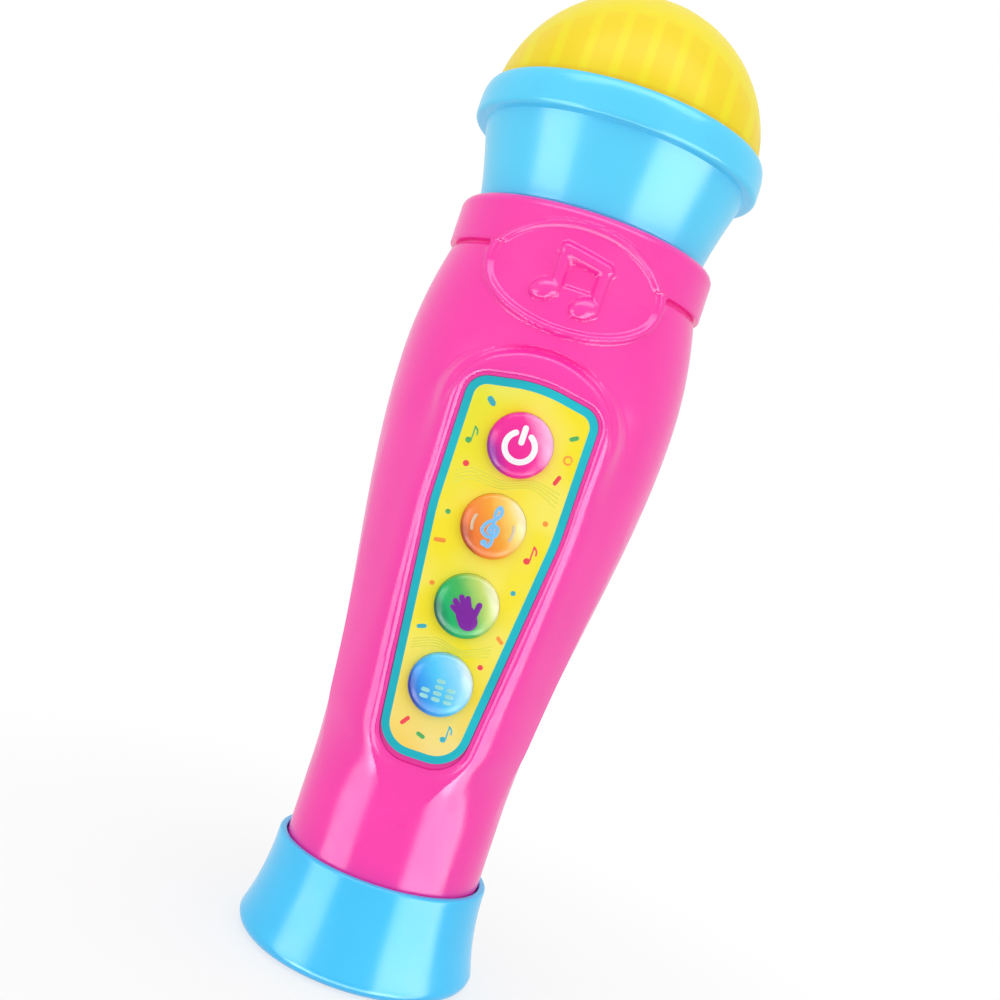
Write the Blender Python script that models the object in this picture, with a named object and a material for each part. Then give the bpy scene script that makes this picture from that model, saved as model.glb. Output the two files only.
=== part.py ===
"""Toy microphone: a two-part handle with a domed head, a base cap, four push buttons and electronics.

Metres, +Z up along the handle's axis. The origin is the centre of the base's underside, the front is -Y.
"""
import math

import bmesh
import bpy
from mathutils import Vector

# Clearances
FIT_GAP = 0.0003            # between pieces that rest on each other
SEAM_GAP = 0.0003           # between the two halves of the handle
SWING_GAP = 0.0010          # round what leaves its hole on an arc

# Facets
TURN_STEPS = 32             # sides of the large turned pieces
SMALL_STEPS = 16            # sides of buttons, batteries and posts
TINY_STEPS = 12             # sides of screws and lamps
SHARP_ANGLE = math.radians(35)   # edges steeper than this are shaded sharp
MERGE = 1e-7                # points closer than this are one point

# Handle outline
GRIP_RADIUS = 0.02205
SWELL_START = 0.0380        # height where the grip begins to widen
SWELL_HEIGHT = 0.1300       # height of the widest place
SWELL_RADIUS = 0.0313
NECK_HEIGHT = 0.1550
NECK_RADIUS = 0.0281
COLLAR_STEP = 0.0006        # height of the step from neck to collar
COLLAR_RADIUS = 0.0290
COLLAR_HEIGHT = 0.0110      # from the neck to the handle's upper end
COLLAR_ROUND = 0.0022
WALL = 0.0022
POST_SKIN = 0.0008          # how far a post reaches into the wall behind it

# Base cap
CAP_HEIGHT = 0.0220
CAP_WALL = 0.00155          # cup's thickness at its rim
CAP_SPREAD = 0.0039         # foot's reach beyond the rim
CAP_FLARE = 2.2             # power of the flare's curve
CAP_FLOOR = 0.0025
CAP_EDGE = 0.0028           # rounding of the foot's edge
CAP_RIM_ROUND = 0.0006
BEAD_HEIGHT = 0.0115        # snap bead on the grip, middle
BEAD_WIDTH = 0.0030
BEAD_DEPTH = 0.00045

# Head collar
SPIGOT_RADIUS = 0.0246      # neck that the handle's lip grips
LIP_THICKNESS = 0.0022
FLANGE_THICKNESS = 0.0024
SHELF_THICKNESS = 0.0022    # ring in the handle under the flange
SHELF_RADIUS = 0.0235
CONE_FOOT_RADIUS = 0.0258
CONE_HEIGHT = 0.0174
CONE_FLARE = 1.3
BAND_LIP = 0.0025           # how far the band stands out over the cone
BAND_HEIGHT = 0.0080
BAND_WALL = 0.0018          # band's thickness round the dome
BAND_ROUND = 0.0014         # how far the band's upper edge draws in
BAND_FALL = 0.0042          # and the height over which it does
BAND_CHAMFER = 0.0010
HEAD_WALL = 0.0022
DECK_DROP = 0.0042          # web that carries the lamp board, below the band
DECK_THICKNESS = 0.0020
DECK_HOLE = 0.0060

# Dome
DOME_RADIUS = 0.0304
DOME_SINK = 0.0021          # sphere's centre below the band's upper edge
DOME_WALL = 0.0020
DOME_RIBS = 30
DOME_RIB_DEPTH = 0.0006
DOME_SEAT = 0.0015          # seat's height over the band's lower edge
DOME_ARC_STEPS = 6
DOME_RIB_END = 4            # arc step where the ribs stop below the crown
SEAT_WIDTH = 0.0032

# Button panel, in the panel's own frame: x across, y up the panel, z out of it
PANEL_TILT = math.radians(6.5)
PANEL_DROP = 0.0665         # panel's middle below the neck
PANEL_SINK = 0.0019         # panel's floor behind the handle's outline, at that height
PANEL_FLOOR = 0.0018
PANEL_TOP = 0.0412
PANEL_SHOULDER = 0.0386
PANEL_BOTTOM = -0.0402
PANEL_TOP_HALF = 0.0139
PANEL_BOTTOM_HALF = 0.0088
PANEL_WAIST = 0.0120        # height above the middle where the sides start to taper
PANEL_CORNER = 0.0050
PANEL_END_ROUND = 0.0075
RIM_HEIGHT = 0.0016
RIM_WIDTH = 0.0021
RIM_ROUND = 0.0008          # rounding of the rim's outer edge
RECESS_DRAFT = 0.0007       # slope of the recess's wall over the rim's height
BROW_HEIGHT = 0.0086        # how far the brow stands above the panel's top
BROW_SHOULDER = 0.0030
BROW_STEPS = 8
BROW_ROUND = 0.0200
SIDE_ROUND = 0.0600
SKIRT_DEPTH = 0.0072
SKIRT_SPREAD = 0.0046       # slope of the rim's outside over the skirt's depth
POCKET_INSET = 0.0015
LABEL_THICKNESS = 0.0006

# Oval emblem
EMBLEM_DROP = 0.0033        # emblem's middle below the neck
EMBLEM_HALF_WIDTH = 0.0185
EMBLEM_HALF_HEIGHT = 0.0120
EMBLEM_BEAD = 0.0020
EMBLEM_PLATE_RISE = 0.0006
EMBLEM_BEAD_RISE = 0.0013
EMBLEM_ROOT = 0.0012        # depth of the relief's root in the wall
EMBLEM_STEPS = 28
NOTE_HEAD_HALF = 0.0030
NOTE_HEAD_HEIGHT = 0.0024
NOTE_SPREAD = 0.0086
NOTE_STEM_HEIGHT = 0.0105
NOTE_STEM_WIDTH = 0.0020
NOTE_BEAM_HEIGHT = 0.0030
NOTE_SLANT = 0.0010

# Push buttons
BUTTON_NAMES = ("power", "melody", "clap", "rhythm")
BUTTON_RADIUS = 0.00665
BUTTON_FIRST = 0.0284       # first button above the panel's middle
BUTTON_PITCH = 0.01715
BUTTON_RISE = 0.0038
BUTTON_EDGE = 0.0018        # height of the cap's straight side
BUTTON_FLANGE = 0.0012      # width of the flange that keeps the button in
BUTTON_FLANGE_THICKNESS = 0.0010
BUTTON_STEM_RADIUS = 0.0026
BUTTON_STEM_LENGTH = 0.0012
PAD_HEIGHT = 0.0030
PAD_FOOT_RADIUS = 0.0055
PAD_TOP_RADIUS = 0.0030
PAD_FOOT_THICKNESS = 0.0008

# Circuit board
BOARD_THICKNESS = 0.0016
BOARD_HALF_WIDTH = 0.0110
BOARD_TOP = 0.0395
BOARD_BOTTOM = -0.0375
BOARD_POST_RADIUS = 0.0020
BOARD_POST_EDGE = 0.0027    # posts' distance from the board's ends and sides
BOARD_POST_BURY = 0.0008
BOARD_SCREW_RADIUS = 0.0008
BOARD_SCREW_HEAD = 0.0019
BOARD_SCREW_HEAD_THICKNESS = 0.0012
BOARD_SCREW_LENGTH = 0.0055
CHIP_RADIUS = 0.0045
CHIP_HEIGHT = 0.0018
CHIP_PLACE = 0.0050
CAN_RADIUS = 0.0025
CAN_LENGTH = 0.0060
CAN_PLACE = (0.0050, -0.0150)

# Speaker, facing the rear
SPEAKER_DROP = 0.0170       # speaker's middle below the neck
SPEAKER_RADIUS = 0.0165
SPEAKER_SINK = 0.0108       # speaker's face in from the widest radius
SPEAKER_FLANGE = 0.0022
SPEAKER_RIM = 0.0012
BASKET_DEPTH = 0.0066
BASKET_FLOOR_RADIUS = 0.0100
BASKET_SKIN = 0.0010
COIL_HOLE = 0.0040
MAGNET_RADIUS = 0.0095
MAGNET_DEPTH = 0.0068
CUP_WALL = 0.0013
CUP_DEPTH = 0.0027
CUP_LEDGE = 0.0020
SLOT_HALF_LENGTHS = (0.0060, 0.0090, 0.0100, 0.0090, 0.0060)
SLOT_PITCH = 0.0040
SLOT_HALF_HEIGHT = 0.0009

# Lamps in the head
LAMP_BOARD_RADIUS = 0.0120
LAMP_COUNT = 3
LAMP_CIRCLE = 0.0070
LAMP_RADIUS = 0.0025
LAMP_HEIGHT = 0.0080
LAMP_RIM = 0.0004

# Batteries and their tray
CELL_RADIUS = 0.00725
CELL_LENGTH = 0.0505
CELL_NUB_RADIUS = 0.00275
CELL_NUB_HEIGHT = 0.0012
CELL_EDGE = 0.0006
CELL_SPACE = 0.0008
CELL_BEHIND = 0.0080        # cells' axes behind the handle's axis
TRAY_DROP = 0.1023          # tray's underside below the neck
TRAY_WALL = 0.0016
PLATE_THICKNESS = 0.0005
PLATE_HALF = 0.0045
TAB_HALF = 0.0010
TAB_REACH = 0.0020
SPRING_LENGTH = 0.0032
SPRING_WIRE = 0.0003        # radius
SPRING_WIDE = 0.0044
SPRING_NARROW = 0.0026
SPRING_TURNS = 2.5
SPRING_POINTS = 9           # points in a turn

# Battery door
DOOR_BELOW = 0.0122         # door's reach below the tray
DOOR_ABOVE = 0.0044         # and above it
DOOR_THICKNESS = 0.0012
DOOR_MARGIN = 0.0016        # door's overlap over the opening
HOOK_HALF = 0.0047
HOOK_BASE = 0.0020
HOOK_DROP = 0.0006
HOOK_INSET = 0.0030
HOOK_THICKNESS = 0.0012
HOOK_REACH = 0.0018
DOOR_SCREW_UP = 0.0055      # screw above the door's lower edge
DOOR_SCREW_RADIUS = 0.0013
DOOR_SCREW_HEAD = 0.0027
DOOR_SCREW_HEAD_THICKNESS = 0.0014
DOOR_CUP_RADIUS = 0.0039
DOOR_CUP_DEPTH = 0.0038
DOOR_CUP_FLOOR = 0.0018
DOOR_WELL_WALL = 0.0013
DOOR_SCREW_GRIP = 0.0040    # screw's length in its hole
DOOR_WELL_FLOOR = 0.0015

# Screws that join the two halves
UPPER_SCREW_DROP = 0.0080   # below the neck
UPPER_SCREW_INSET = 0.00774  # in from the handle's side
LOWER_SCREW_HEIGHT = 0.0280
LOWER_SCREW_INSET = 0.01105
SCREW_RADIUS = 0.0013
SCREW_HEAD_RADIUS = 0.0026
SCREW_HEAD_THICKNESS = 0.0016
SCREW_LENGTH = 0.0140
SCREW_SEAT = 0.0060         # head's seat behind the seam
POST_WALL = 0.0013
SCREW_POINT = 0.0010

# Wires: place on the board and how far each leaves its terminal before it bends
WIRE_RADIUS = 0.0005
WIRE_POINTS = 10
SPEAKER_WIRE_PLACE = (0.0040, 0.0300)
SPEAKER_WIRE_LEAVE = 0.0100
BATTERY_WIRE_ACROSS = 0.0065
BATTERY_WIRE_BELOW = 0.0057  # landing below the tray's top
BATTERY_WIRE_LEAVE = 0.0060
LAMP_WIRE_PLACE = (0.0020, 0.0370)
LAMP_WIRE_LEAVE = 0.0200
BOARD_WIRE_LEAVE = 0.0080


# Scene and materials
for old in list(bpy.data.objects):
    bpy.data.objects.remove(old, do_unlink=True)


def plastic(name, colour, roughness, metallic=0.0, alpha=1.0):
    material = bpy.data.materials.new(name)
    material.use_nodes = True
    shader = material.node_tree.nodes["Principled BSDF"]
    shader.inputs["Base Color"].default_value = (*colour, 1.0)
    shader.inputs["Roughness"].default_value = roughness
    shader.inputs["Metallic"].default_value = metallic
    shader.inputs["Alpha"].default_value = alpha
    return material


PINK = plastic("pink_plastic", (1.0, 0.075, 0.45), 0.22)
BLUE = plastic("blue_plastic", (0.06, 0.57, 0.97), 0.22)
YELLOW_DOME = plastic("yellow_dome", (1.0, 0.72, 0.04), 0.12, alpha=0.8)
PRINT = plastic("label_print", (0.93, 0.82, 0.10), 0.35)
BUTTON_COLOURS = {
    "power": plastic("button_pink", (0.95, 0.10, 0.42), 0.25),
    "melody": plastic("button_orange", (0.98, 0.42, 0.05), 0.25),
    "clap": plastic("button_green", (0.06, 0.58, 0.22), 0.25),
    "rhythm": plastic("button_blue", (0.08, 0.60, 0.97), 0.25),
}
SILICONE = plastic("grey_silicone", (0.55, 0.56, 0.58), 0.6)
BOARD_GREEN = plastic("board_green", (0.03, 0.22, 0.09), 0.4)
EPOXY = plastic("black_epoxy", (0.02, 0.02, 0.02), 0.3)
STEEL = plastic("plated_steel", (0.62, 0.62, 0.64), 0.3, metallic=1.0)
CONE_PAPER = plastic("cone_paper", (0.05, 0.05, 0.05), 0.85)
CELL_JACKET = plastic("cell_jacket", (0.12, 0.13, 0.15), 0.35)
TRAY_PLASTIC = plastic("tray_plastic", (0.75, 0.75, 0.76), 0.45)
LAMP_CLEAR = plastic("lamp_clear", (0.92, 0.92, 0.95), 0.1, alpha=0.6)
WIRE_RED = plastic("wire_red", (0.62, 0.03, 0.03), 0.45)
WIRE_BLACK = plastic("wire_black", (0.02, 0.02, 0.02), 0.45)


# Modelling helpers
def place(name, mesh, material=None, parent=None, location=(0, 0, 0), rotation=(0, 0, 0)):
    mesh.name = name
    obj = bpy.data.objects.new(name, mesh)
    bpy.context.scene.collection.objects.link(obj)
    obj.parent = parent
    obj.location = location
    obj.rotation_euler = rotation
    if material:
        mesh.materials.append(material)
    return obj


def finish_mesh(bm):
    bmesh.ops.recalc_face_normals(bm, faces=bm.faces)
    mesh = bpy.data.meshes.new("shape")
    bm.to_mesh(mesh)
    bm.free()
    mesh.shade_smooth()
    mesh.set_sharp_from_angle(angle=SHARP_ANGLE)
    return mesh


def turned(outline, steps=TURN_STEPS, half=None, ripple=None):
    """Spin a closed outline of (radius, height) about Z; half is -1 or 1 for the front or rear half."""
    bm = bmesh.new()
    ring = [bm.verts.new((radius, 0, height)) for radius, height in outline]
    edges = [bm.edges.new((ring[i - 1], ring[i])) for i in range(len(ring))]
    angle = math.pi * half if half else 2 * math.pi
    spun = bmesh.ops.spin(bm, geom=ring + edges, cent=(0, 0, 0), axis=(0, 0, 1), angle=angle,
                          steps=steps // 2 if half else steps)
    if half:
        last = [item for item in spun["geom_last"] if isinstance(item, bmesh.types.BMEdge)]
        bmesh.ops.contextual_create(bm, geom=edges)
        bmesh.ops.contextual_create(bm, geom=last)
    bmesh.ops.remove_doubles(bm, verts=bm.verts, dist=MERGE)
    axis_edges = [edge for edge in bm.edges if not edge.link_faces]
    bmesh.ops.delete(bm, geom=axis_edges, context="EDGES")
    if ripple:
        for vert in bm.verts:
            ripple(vert)
    return finish_mesh(bm)


def loft(levels):
    """Join flat outlines of as many points each, given as (height, outline), into one closed body."""
    bm = bmesh.new()
    rings = [[bm.verts.new((x, y, height)) for x, y in outline] for height, outline in levels]
    bm.faces.new(rings[0])
    bm.faces.new(rings[-1])
    for low, high in zip(rings, rings[1:]):
        for i in range(len(low)):
            bm.faces.new((low[i - 1], low[i], high[i], high[i - 1]))
    return finish_mesh(bm)


def prism(outline, low, high):
    return loft([(low, outline), (high, outline)])


def box(low, high):
    bm = bmesh.new()
    bmesh.ops.create_cube(bm, size=1.0)
    for vert in bm.verts:
        vert.co = [low[i] if vert.co[i] < 0 else high[i] for i in range(3)]
    return finish_mesh(bm)


def disc(radius, low, high, steps=SMALL_STEPS):
    return turned([(0, low), (radius, low), (radius, high), (0, high)], steps)


def tool(mesh, parent=None, location=(0, 0, 0), rotation=(0, 0, 0)):
    obj = place("tool", mesh, None, parent, location, rotation)
    obj.hide_render = True
    obj.display_type = "WIRE"
    return obj


def combine(target, operation, other):
    """Apply a Boolean to the target and drop the other object.

    The exact solver leaves open edges on the thin shells, so the manifold solver is used.
    """
    modifier = target.modifiers.new(operation, "BOOLEAN")
    modifier.operation = operation
    modifier.solver = "MANIFOLD"
    modifier.object = other
    bpy.context.view_layer.update()
    result = bpy.data.meshes.new_from_object(target.evaluated_get(bpy.context.evaluated_depsgraph_get()))
    target.modifiers.clear()
    target.data = result
    bpy.data.objects.remove(other, do_unlink=True)
    result.set_sharp_from_angle(angle=SHARP_ANGLE)


def add(target, mesh, parent=None, location=(0, 0, 0), rotation=(0, 0, 0)):
    combine(target, "UNION", tool(mesh, parent, location, rotation))


def cut(target, mesh, parent=None, location=(0, 0, 0), rotation=(0, 0, 0)):
    combine(target, "DIFFERENCE", tool(mesh, parent, location, rotation))


def spread(start, end, count):
    return [start + (end - start) * i / count for i in range(count + 1)]


def arc(centre, radius, start, end, count):
    angles = spread(math.radians(start), math.radians(end), count)
    return [(centre[0] + radius * math.cos(a), centre[1] + radius * math.sin(a)) for a in angles]


def ellipse(half_width, half_height, steps, centre=(0, 0)):
    angles = [2 * math.pi * i / steps for i in range(steps)]
    return [(centre[0] + half_width * math.cos(a), centre[1] + half_height * math.sin(a)) for a in angles]


def rounded(corners, steps=4):
    """Turn corners of (x, y, radius) into an outline whose corners are arcs."""
    outline = []
    for i, (x, y, radius) in enumerate(corners):
        corner = Vector((x, y))
        back = (Vector(corners[i - 1][:2]) - corner).normalized()
        ahead = (Vector(corners[(i + 1) % len(corners)][:2]) - corner).normalized()
        opening = back.angle(ahead)
        middle = corner + (back + ahead).normalized() * radius / math.sin(opening / 2)
        start = corner + back * radius / math.tan(opening / 2) - middle
        turn = (math.pi - opening) * (1 if back.cross(ahead) < 0 else -1)
        for step in range(steps + 1):
            angle = turn * step / steps
            spoke = Vector((start.x * math.cos(angle) - start.y * math.sin(angle),
                            start.x * math.sin(angle) + start.y * math.cos(angle)))
            outline.append(tuple(middle + spoke))
    return outline


def offset(outline, distance):
    """Move a convex outline that runs anticlockwise outwards by a distance."""
    moved = []
    for i, point in enumerate(outline):
        before = (Vector(point) - Vector(outline[i - 1])).normalized()
        after = (Vector(outline[(i + 1) % len(outline)]) - Vector(point)).normalized()
        along = (before + after).normalized()
        normal = Vector((along.y, -along.x))
        moved.append(tuple(Vector(point) + normal * distance / max(0.5, normal.dot((before.y, -before.x)))))
    return moved


def bent(start, start_handle, end, end_handle, count):
    """Points of a smooth curve from start to end that leaves and arrives along the two handles."""
    a, d = Vector(start), Vector(end)
    b, c = a + Vector(start_handle), d + Vector(end_handle)
    return [a * (1 - t) ** 3 + b * 3 * t * (1 - t) ** 2 + c * 3 * t * t * (1 - t) + d * t ** 3
            for t in spread(0, 1, count - 1)]


def tube(name, path, radius, material, sides=2):
    """A round wire along a path."""
    curve = bpy.data.curves.new(name, "CURVE")
    curve.dimensions = "3D"
    curve.bevel_depth = radius
    curve.bevel_resolution = sides
    curve.use_fill_caps = True
    spline = curve.splines.new("POLY")
    spline.points.add(len(path) - 1)
    for spot, point in zip(spline.points, path):
        spot.co = (*point, 1.0)
    curve.materials.append(material)
    obj = bpy.data.objects.new(name, curve)
    bpy.context.scene.collection.objects.link(obj)
    return obj


REARWARD = (-math.pi / 2, 0, 0)      # turns a piece's own +Z to +Y


# Outline of the handle
def handle_radius(height):
    if height <= SWELL_START:
        return GRIP_RADIUS
    if height <= SWELL_HEIGHT:
        rise = (height - SWELL_START) / (SWELL_HEIGHT - SWELL_START)
        return GRIP_RADIUS + (SWELL_RADIUS - GRIP_RADIUS) * rise * rise * (3 - 2 * rise)
    if height <= NECK_HEIGHT:
        fall = (height - SWELL_HEIGHT) / (NECK_HEIGHT - SWELL_HEIGHT)
        return SWELL_RADIUS - (SWELL_RADIUS - NECK_RADIUS) * fall * fall
    return COLLAR_RADIUS


GRIP_BOTTOM = CAP_FLOOR + FIT_GAP
PANEL_HEIGHT = NECK_HEIGHT - PANEL_DROP
COLLAR_TOP = NECK_HEIGHT + COLLAR_HEIGHT
LIP_BOTTOM = COLLAR_TOP - LIP_THICKNESS
FLANGE_TOP = LIP_BOTTOM - FIT_GAP
FLANGE_BOTTOM = FLANGE_TOP - FLANGE_THICKNESS
SHELF_TOP = FLANGE_BOTTOM - FIT_GAP
SHELF_BOTTOM = SHELF_TOP - SHELF_THICKNESS
SWELL_LEVELS = spread(SWELL_START, SWELL_HEIGHT, 8)
FALL_LEVELS = spread(SWELL_HEIGHT, NECK_HEIGHT, 4)[1:]
HANDLE_LEVELS = SWELL_LEVELS + FALL_LEVELS


def handle_core(inset, steps=TURN_STEPS):
    """A plug of the handle's outline, drawn in by an inset, to trim what stands inside it."""
    levels = [GRIP_BOTTOM] + HANDLE_LEVELS + [SHELF_BOTTOM]
    side = [(handle_radius(level) - inset, level) for level in levels]
    return tool(turned([(0, GRIP_BOTTOM)] + side + [(0, SHELF_BOTTOM)], steps))


def shell_outline():
    bead = BEAD_WIDTH / 2
    outside = [(GRIP_RADIUS, GRIP_BOTTOM),
               (GRIP_RADIUS, BEAD_HEIGHT - bead - BEAD_DEPTH),
               (GRIP_RADIUS + BEAD_DEPTH, BEAD_HEIGHT - bead),
               (GRIP_RADIUS + BEAD_DEPTH, BEAD_HEIGHT + bead),
               (GRIP_RADIUS, BEAD_HEIGHT + bead + BEAD_DEPTH)]
    outside += [(handle_radius(level), level) for level in HANDLE_LEVELS]
    collar_round = (COLLAR_RADIUS - COLLAR_ROUND, COLLAR_TOP - COLLAR_ROUND)
    collar = [(COLLAR_RADIUS, NECK_HEIGHT + COLLAR_STEP)] + arc(collar_round, COLLAR_ROUND, 0, 90, 3)
    lip = SPIGOT_RADIUS + FIT_GAP
    bore = COLLAR_RADIUS - WALL
    mouth = [(lip, COLLAR_TOP), (lip, LIP_BOTTOM), (bore, LIP_BOTTOM), (bore, SHELF_TOP),
             (SHELF_RADIUS, SHELF_TOP), (SHELF_RADIUS, SHELF_BOTTOM), (bore, SHELF_BOTTOM)]
    inside = [(handle_radius(level) - WALL, level) for level in reversed(HANDLE_LEVELS)]
    return outside + collar + mouth + inside + [(GRIP_RADIUS - WALL, GRIP_BOTTOM)]


FRONT_SEAM = (0, -SEAM_GAP / 2, 0)
REAR_SEAM = (0, SEAM_GAP / 2, 0)

panel_frame = bpy.data.objects.new("panel_frame", None)
bpy.context.scene.collection.objects.link(panel_frame)
panel_frame.location = (0, PANEL_SINK - handle_radius(PANEL_HEIGHT), PANEL_HEIGHT)
panel_frame.rotation_euler = (math.pi / 2 + PANEL_TILT, 0, 0)
bpy.context.view_layer.update()


# Outlines in the panel's frame
PANEL_OUTLINE = rounded([
    (-PANEL_BOTTOM_HALF, PANEL_BOTTOM, PANEL_END_ROUND),
    (PANEL_BOTTOM_HALF, PANEL_BOTTOM, PANEL_END_ROUND),
    (PANEL_TOP_HALF, PANEL_WAIST, SIDE_ROUND),
    (PANEL_TOP_HALF, PANEL_SHOULDER, PANEL_CORNER),
    (0, PANEL_TOP, SIDE_ROUND / 2),
    (-PANEL_TOP_HALF, PANEL_SHOULDER, PANEL_CORNER),
    (-PANEL_TOP_HALF, PANEL_WAIST, SIDE_ROUND),
])
RIM_OUTLINE = rounded([
    (-PANEL_BOTTOM_HALF - RIM_WIDTH, PANEL_BOTTOM - RIM_WIDTH, PANEL_END_ROUND + RIM_WIDTH),
    (PANEL_BOTTOM_HALF + RIM_WIDTH, PANEL_BOTTOM - RIM_WIDTH, PANEL_END_ROUND + RIM_WIDTH),
    (PANEL_TOP_HALF + RIM_WIDTH, PANEL_WAIST, SIDE_ROUND),
    (PANEL_TOP_HALF + RIM_WIDTH, PANEL_SHOULDER + BROW_SHOULDER, PANEL_CORNER + RIM_WIDTH),
    (0, PANEL_TOP + BROW_HEIGHT, BROW_ROUND),
    (-PANEL_TOP_HALF - RIM_WIDTH, PANEL_SHOULDER + BROW_SHOULDER, PANEL_CORNER + RIM_WIDTH),
    (-PANEL_TOP_HALF - RIM_WIDTH, PANEL_WAIST, SIDE_ROUND),
], BROW_STEPS)
BUTTON_PLACES = [BUTTON_FIRST - i * BUTTON_PITCH for i in range(len(BUTTON_NAMES))]
BUTTON_HOLE = BUTTON_RADIUS + FIT_GAP
BOARD_SCREW_HOLE = BOARD_SCREW_RADIUS + FIT_GAP
FLANGE_FACE = -PANEL_FLOOR - FIT_GAP
STEM_END = FLANGE_FACE - BUTTON_FLANGE_THICKNESS - BUTTON_STEM_LENGTH
PAD_TOP = STEM_END - FIT_GAP
BOARD_FACE = PAD_TOP - PAD_HEIGHT - FIT_GAP
BOARD_BACK = BOARD_FACE - BOARD_THICKNESS
BOARD_SCREW_PLACES = [(side * (BOARD_HALF_WIDTH - BOARD_POST_EDGE), end) for side in (-1, 1)
                      for end in (BOARD_TOP - BOARD_POST_EDGE, BOARD_BOTTOM + BOARD_POST_EDGE)]


# Emblem in relief on the collar
EMBLEM_HEIGHT = NECK_HEIGHT - EMBLEM_DROP


def emblem_band(rise):
    """A ring that follows the handle's front across neck and collar, raised by rise."""
    low = EMBLEM_HEIGHT - EMBLEM_HALF_HEIGHT - FIT_GAP
    high = EMBLEM_HEIGHT + EMBLEM_HALF_HEIGHT + FIT_GAP
    levels = spread(low, high, 4)
    base = [max(handle_radius(level), COLLAR_RADIUS) for level in levels]
    outside = [(radius + rise, level) for radius, level in zip(base, levels)]
    inside = [(radius - EMBLEM_ROOT, level) for radius, level in zip(base, levels)]
    return tool(turned(outside + inside[::-1]), location=FRONT_SEAM)


def forward_prism(outline):
    """Stand an outline of (across, up) out of the handle's front."""
    mesh = prism(outline, 0, 2 * SWELL_RADIUS)
    return tool(mesh, location=(0, 0, EMBLEM_HEIGHT), rotation=(math.pi / 2, 0, 0))


def add_relief(shell, outlines, rise):
    stamp = forward_prism(outlines[0])
    for outline in outlines[1:]:
        combine(stamp, "UNION", forward_prism(outline))
    combine(stamp, "INTERSECT", emblem_band(rise))
    combine(shell, "UNION", stamp)


def note_outlines():
    """A beamed pair of notes: two heads, two stems and the beam."""
    half = NOTE_SPREAD / 2
    base = -NOTE_STEM_HEIGHT / 2
    shapes = []
    for side in (-1, 1):
        lift = side * NOTE_SLANT / 2
        shapes.append(ellipse(NOTE_HEAD_HALF, NOTE_HEAD_HEIGHT, TINY_STEPS, (side * half, base + lift)))
        right = side * half + NOTE_HEAD_HALF
        left = right - NOTE_STEM_WIDTH
        shapes.append([(left, base + lift), (right, base + lift),
                       (right, base + lift + NOTE_STEM_HEIGHT), (left, base + lift + NOTE_STEM_HEIGHT)])
    left = -half + NOTE_HEAD_HALF - NOTE_STEM_WIDTH
    right = half + NOTE_HEAD_HALF
    top = base + NOTE_STEM_HEIGHT
    low = top - NOTE_BEAM_HEIGHT
    lift = NOTE_SLANT / 2
    shapes.append([(left, low - lift), (right, low + lift), (right, top + lift), (left, top - lift)])
    return shapes


# Two halves of the handle
front_shell = place("front_shell", turned(shell_outline(), half=-1), PINK, location=FRONT_SEAM)
skirt = loft([(-SKIRT_DEPTH, offset(RIM_OUTLINE, SKIRT_SPREAD)),
              (RIM_HEIGHT - RIM_ROUND, RIM_OUTLINE),
              (RIM_HEIGHT - RIM_ROUND / 3, offset(RIM_OUTLINE, -RIM_ROUND / 3)),
              (RIM_HEIGHT, offset(RIM_OUTLINE, -RIM_ROUND))])
add(front_shell, skirt, panel_frame)
RECESS_REACH = 3            # recess cutter's height, in rim heights
flared = offset(PANEL_OUTLINE, RECESS_REACH * RECESS_DRAFT)
cut(front_shell, loft([(0, PANEL_OUTLINE), (RECESS_REACH * RIM_HEIGHT, flared)]), panel_frame)
cut(front_shell, prism(offset(PANEL_OUTLINE, -POCKET_INSET), -2 * SKIRT_DEPTH, -PANEL_FLOOR), panel_frame)
for up in BUTTON_PLACES:
    cut(front_shell, disc(BUTTON_HOLE, -2 * PANEL_FLOOR, PANEL_FLOOR), panel_frame, (0, up, 0))
for across, up in BOARD_SCREW_PLACES:
    post = disc(BOARD_POST_RADIUS, BOARD_FACE + FIT_GAP, -PANEL_FLOOR + BOARD_POST_BURY, TINY_STEPS)
    add(front_shell, post, panel_frame, (across, up, 0))
    hole = disc(BOARD_SCREW_HOLE, BOARD_BACK, BOARD_BACK + BOARD_SCREW_LENGTH + FIT_GAP, TINY_STEPS)
    cut(front_shell, hole, panel_frame, (across, up, 0))

OVAL = ellipse(EMBLEM_HALF_WIDTH, EMBLEM_HALF_HEIGHT, EMBLEM_STEPS)
OVAL_INSIDE = ellipse(EMBLEM_HALF_WIDTH - EMBLEM_BEAD, EMBLEM_HALF_HEIGHT - EMBLEM_BEAD, EMBLEM_STEPS)
bead_ring = forward_prism(OVAL)
combine(bead_ring, "DIFFERENCE", forward_prism(OVAL_INSIDE))
combine(bead_ring, "INTERSECT", emblem_band(EMBLEM_BEAD_RISE))
add_relief(front_shell, [OVAL], EMBLEM_PLATE_RISE)
combine(front_shell, "UNION", bead_ring)
add_relief(front_shell, note_outlines(), EMBLEM_BEAD_RISE)

rear_shell = place("rear_shell", turned(shell_outline(), half=1), PINK, location=REAR_SEAM)


# Posts and screws that join the halves
def shell_post(spot, radius, low, high, inset):
    """A post along Y between two depths, trimmed to the handle's wall."""
    post = tool(disc(radius, low, high), None, spot, REARWARD)
    combine(post, "INTERSECT", handle_core(inset))
    return post


def screw_outline(radius, tip, head, head_radius, head_thickness):
    """A pan-headed screw from its tip up to its head."""
    return [(0, tip), (radius - SCREW_POINT / 2, tip), (radius, tip + SCREW_POINT), (radius, head),
            (head_radius, head), (head_radius, head + head_thickness / 2),
            (head_radius / 2, head + head_thickness), (0, head + head_thickness)]


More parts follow.
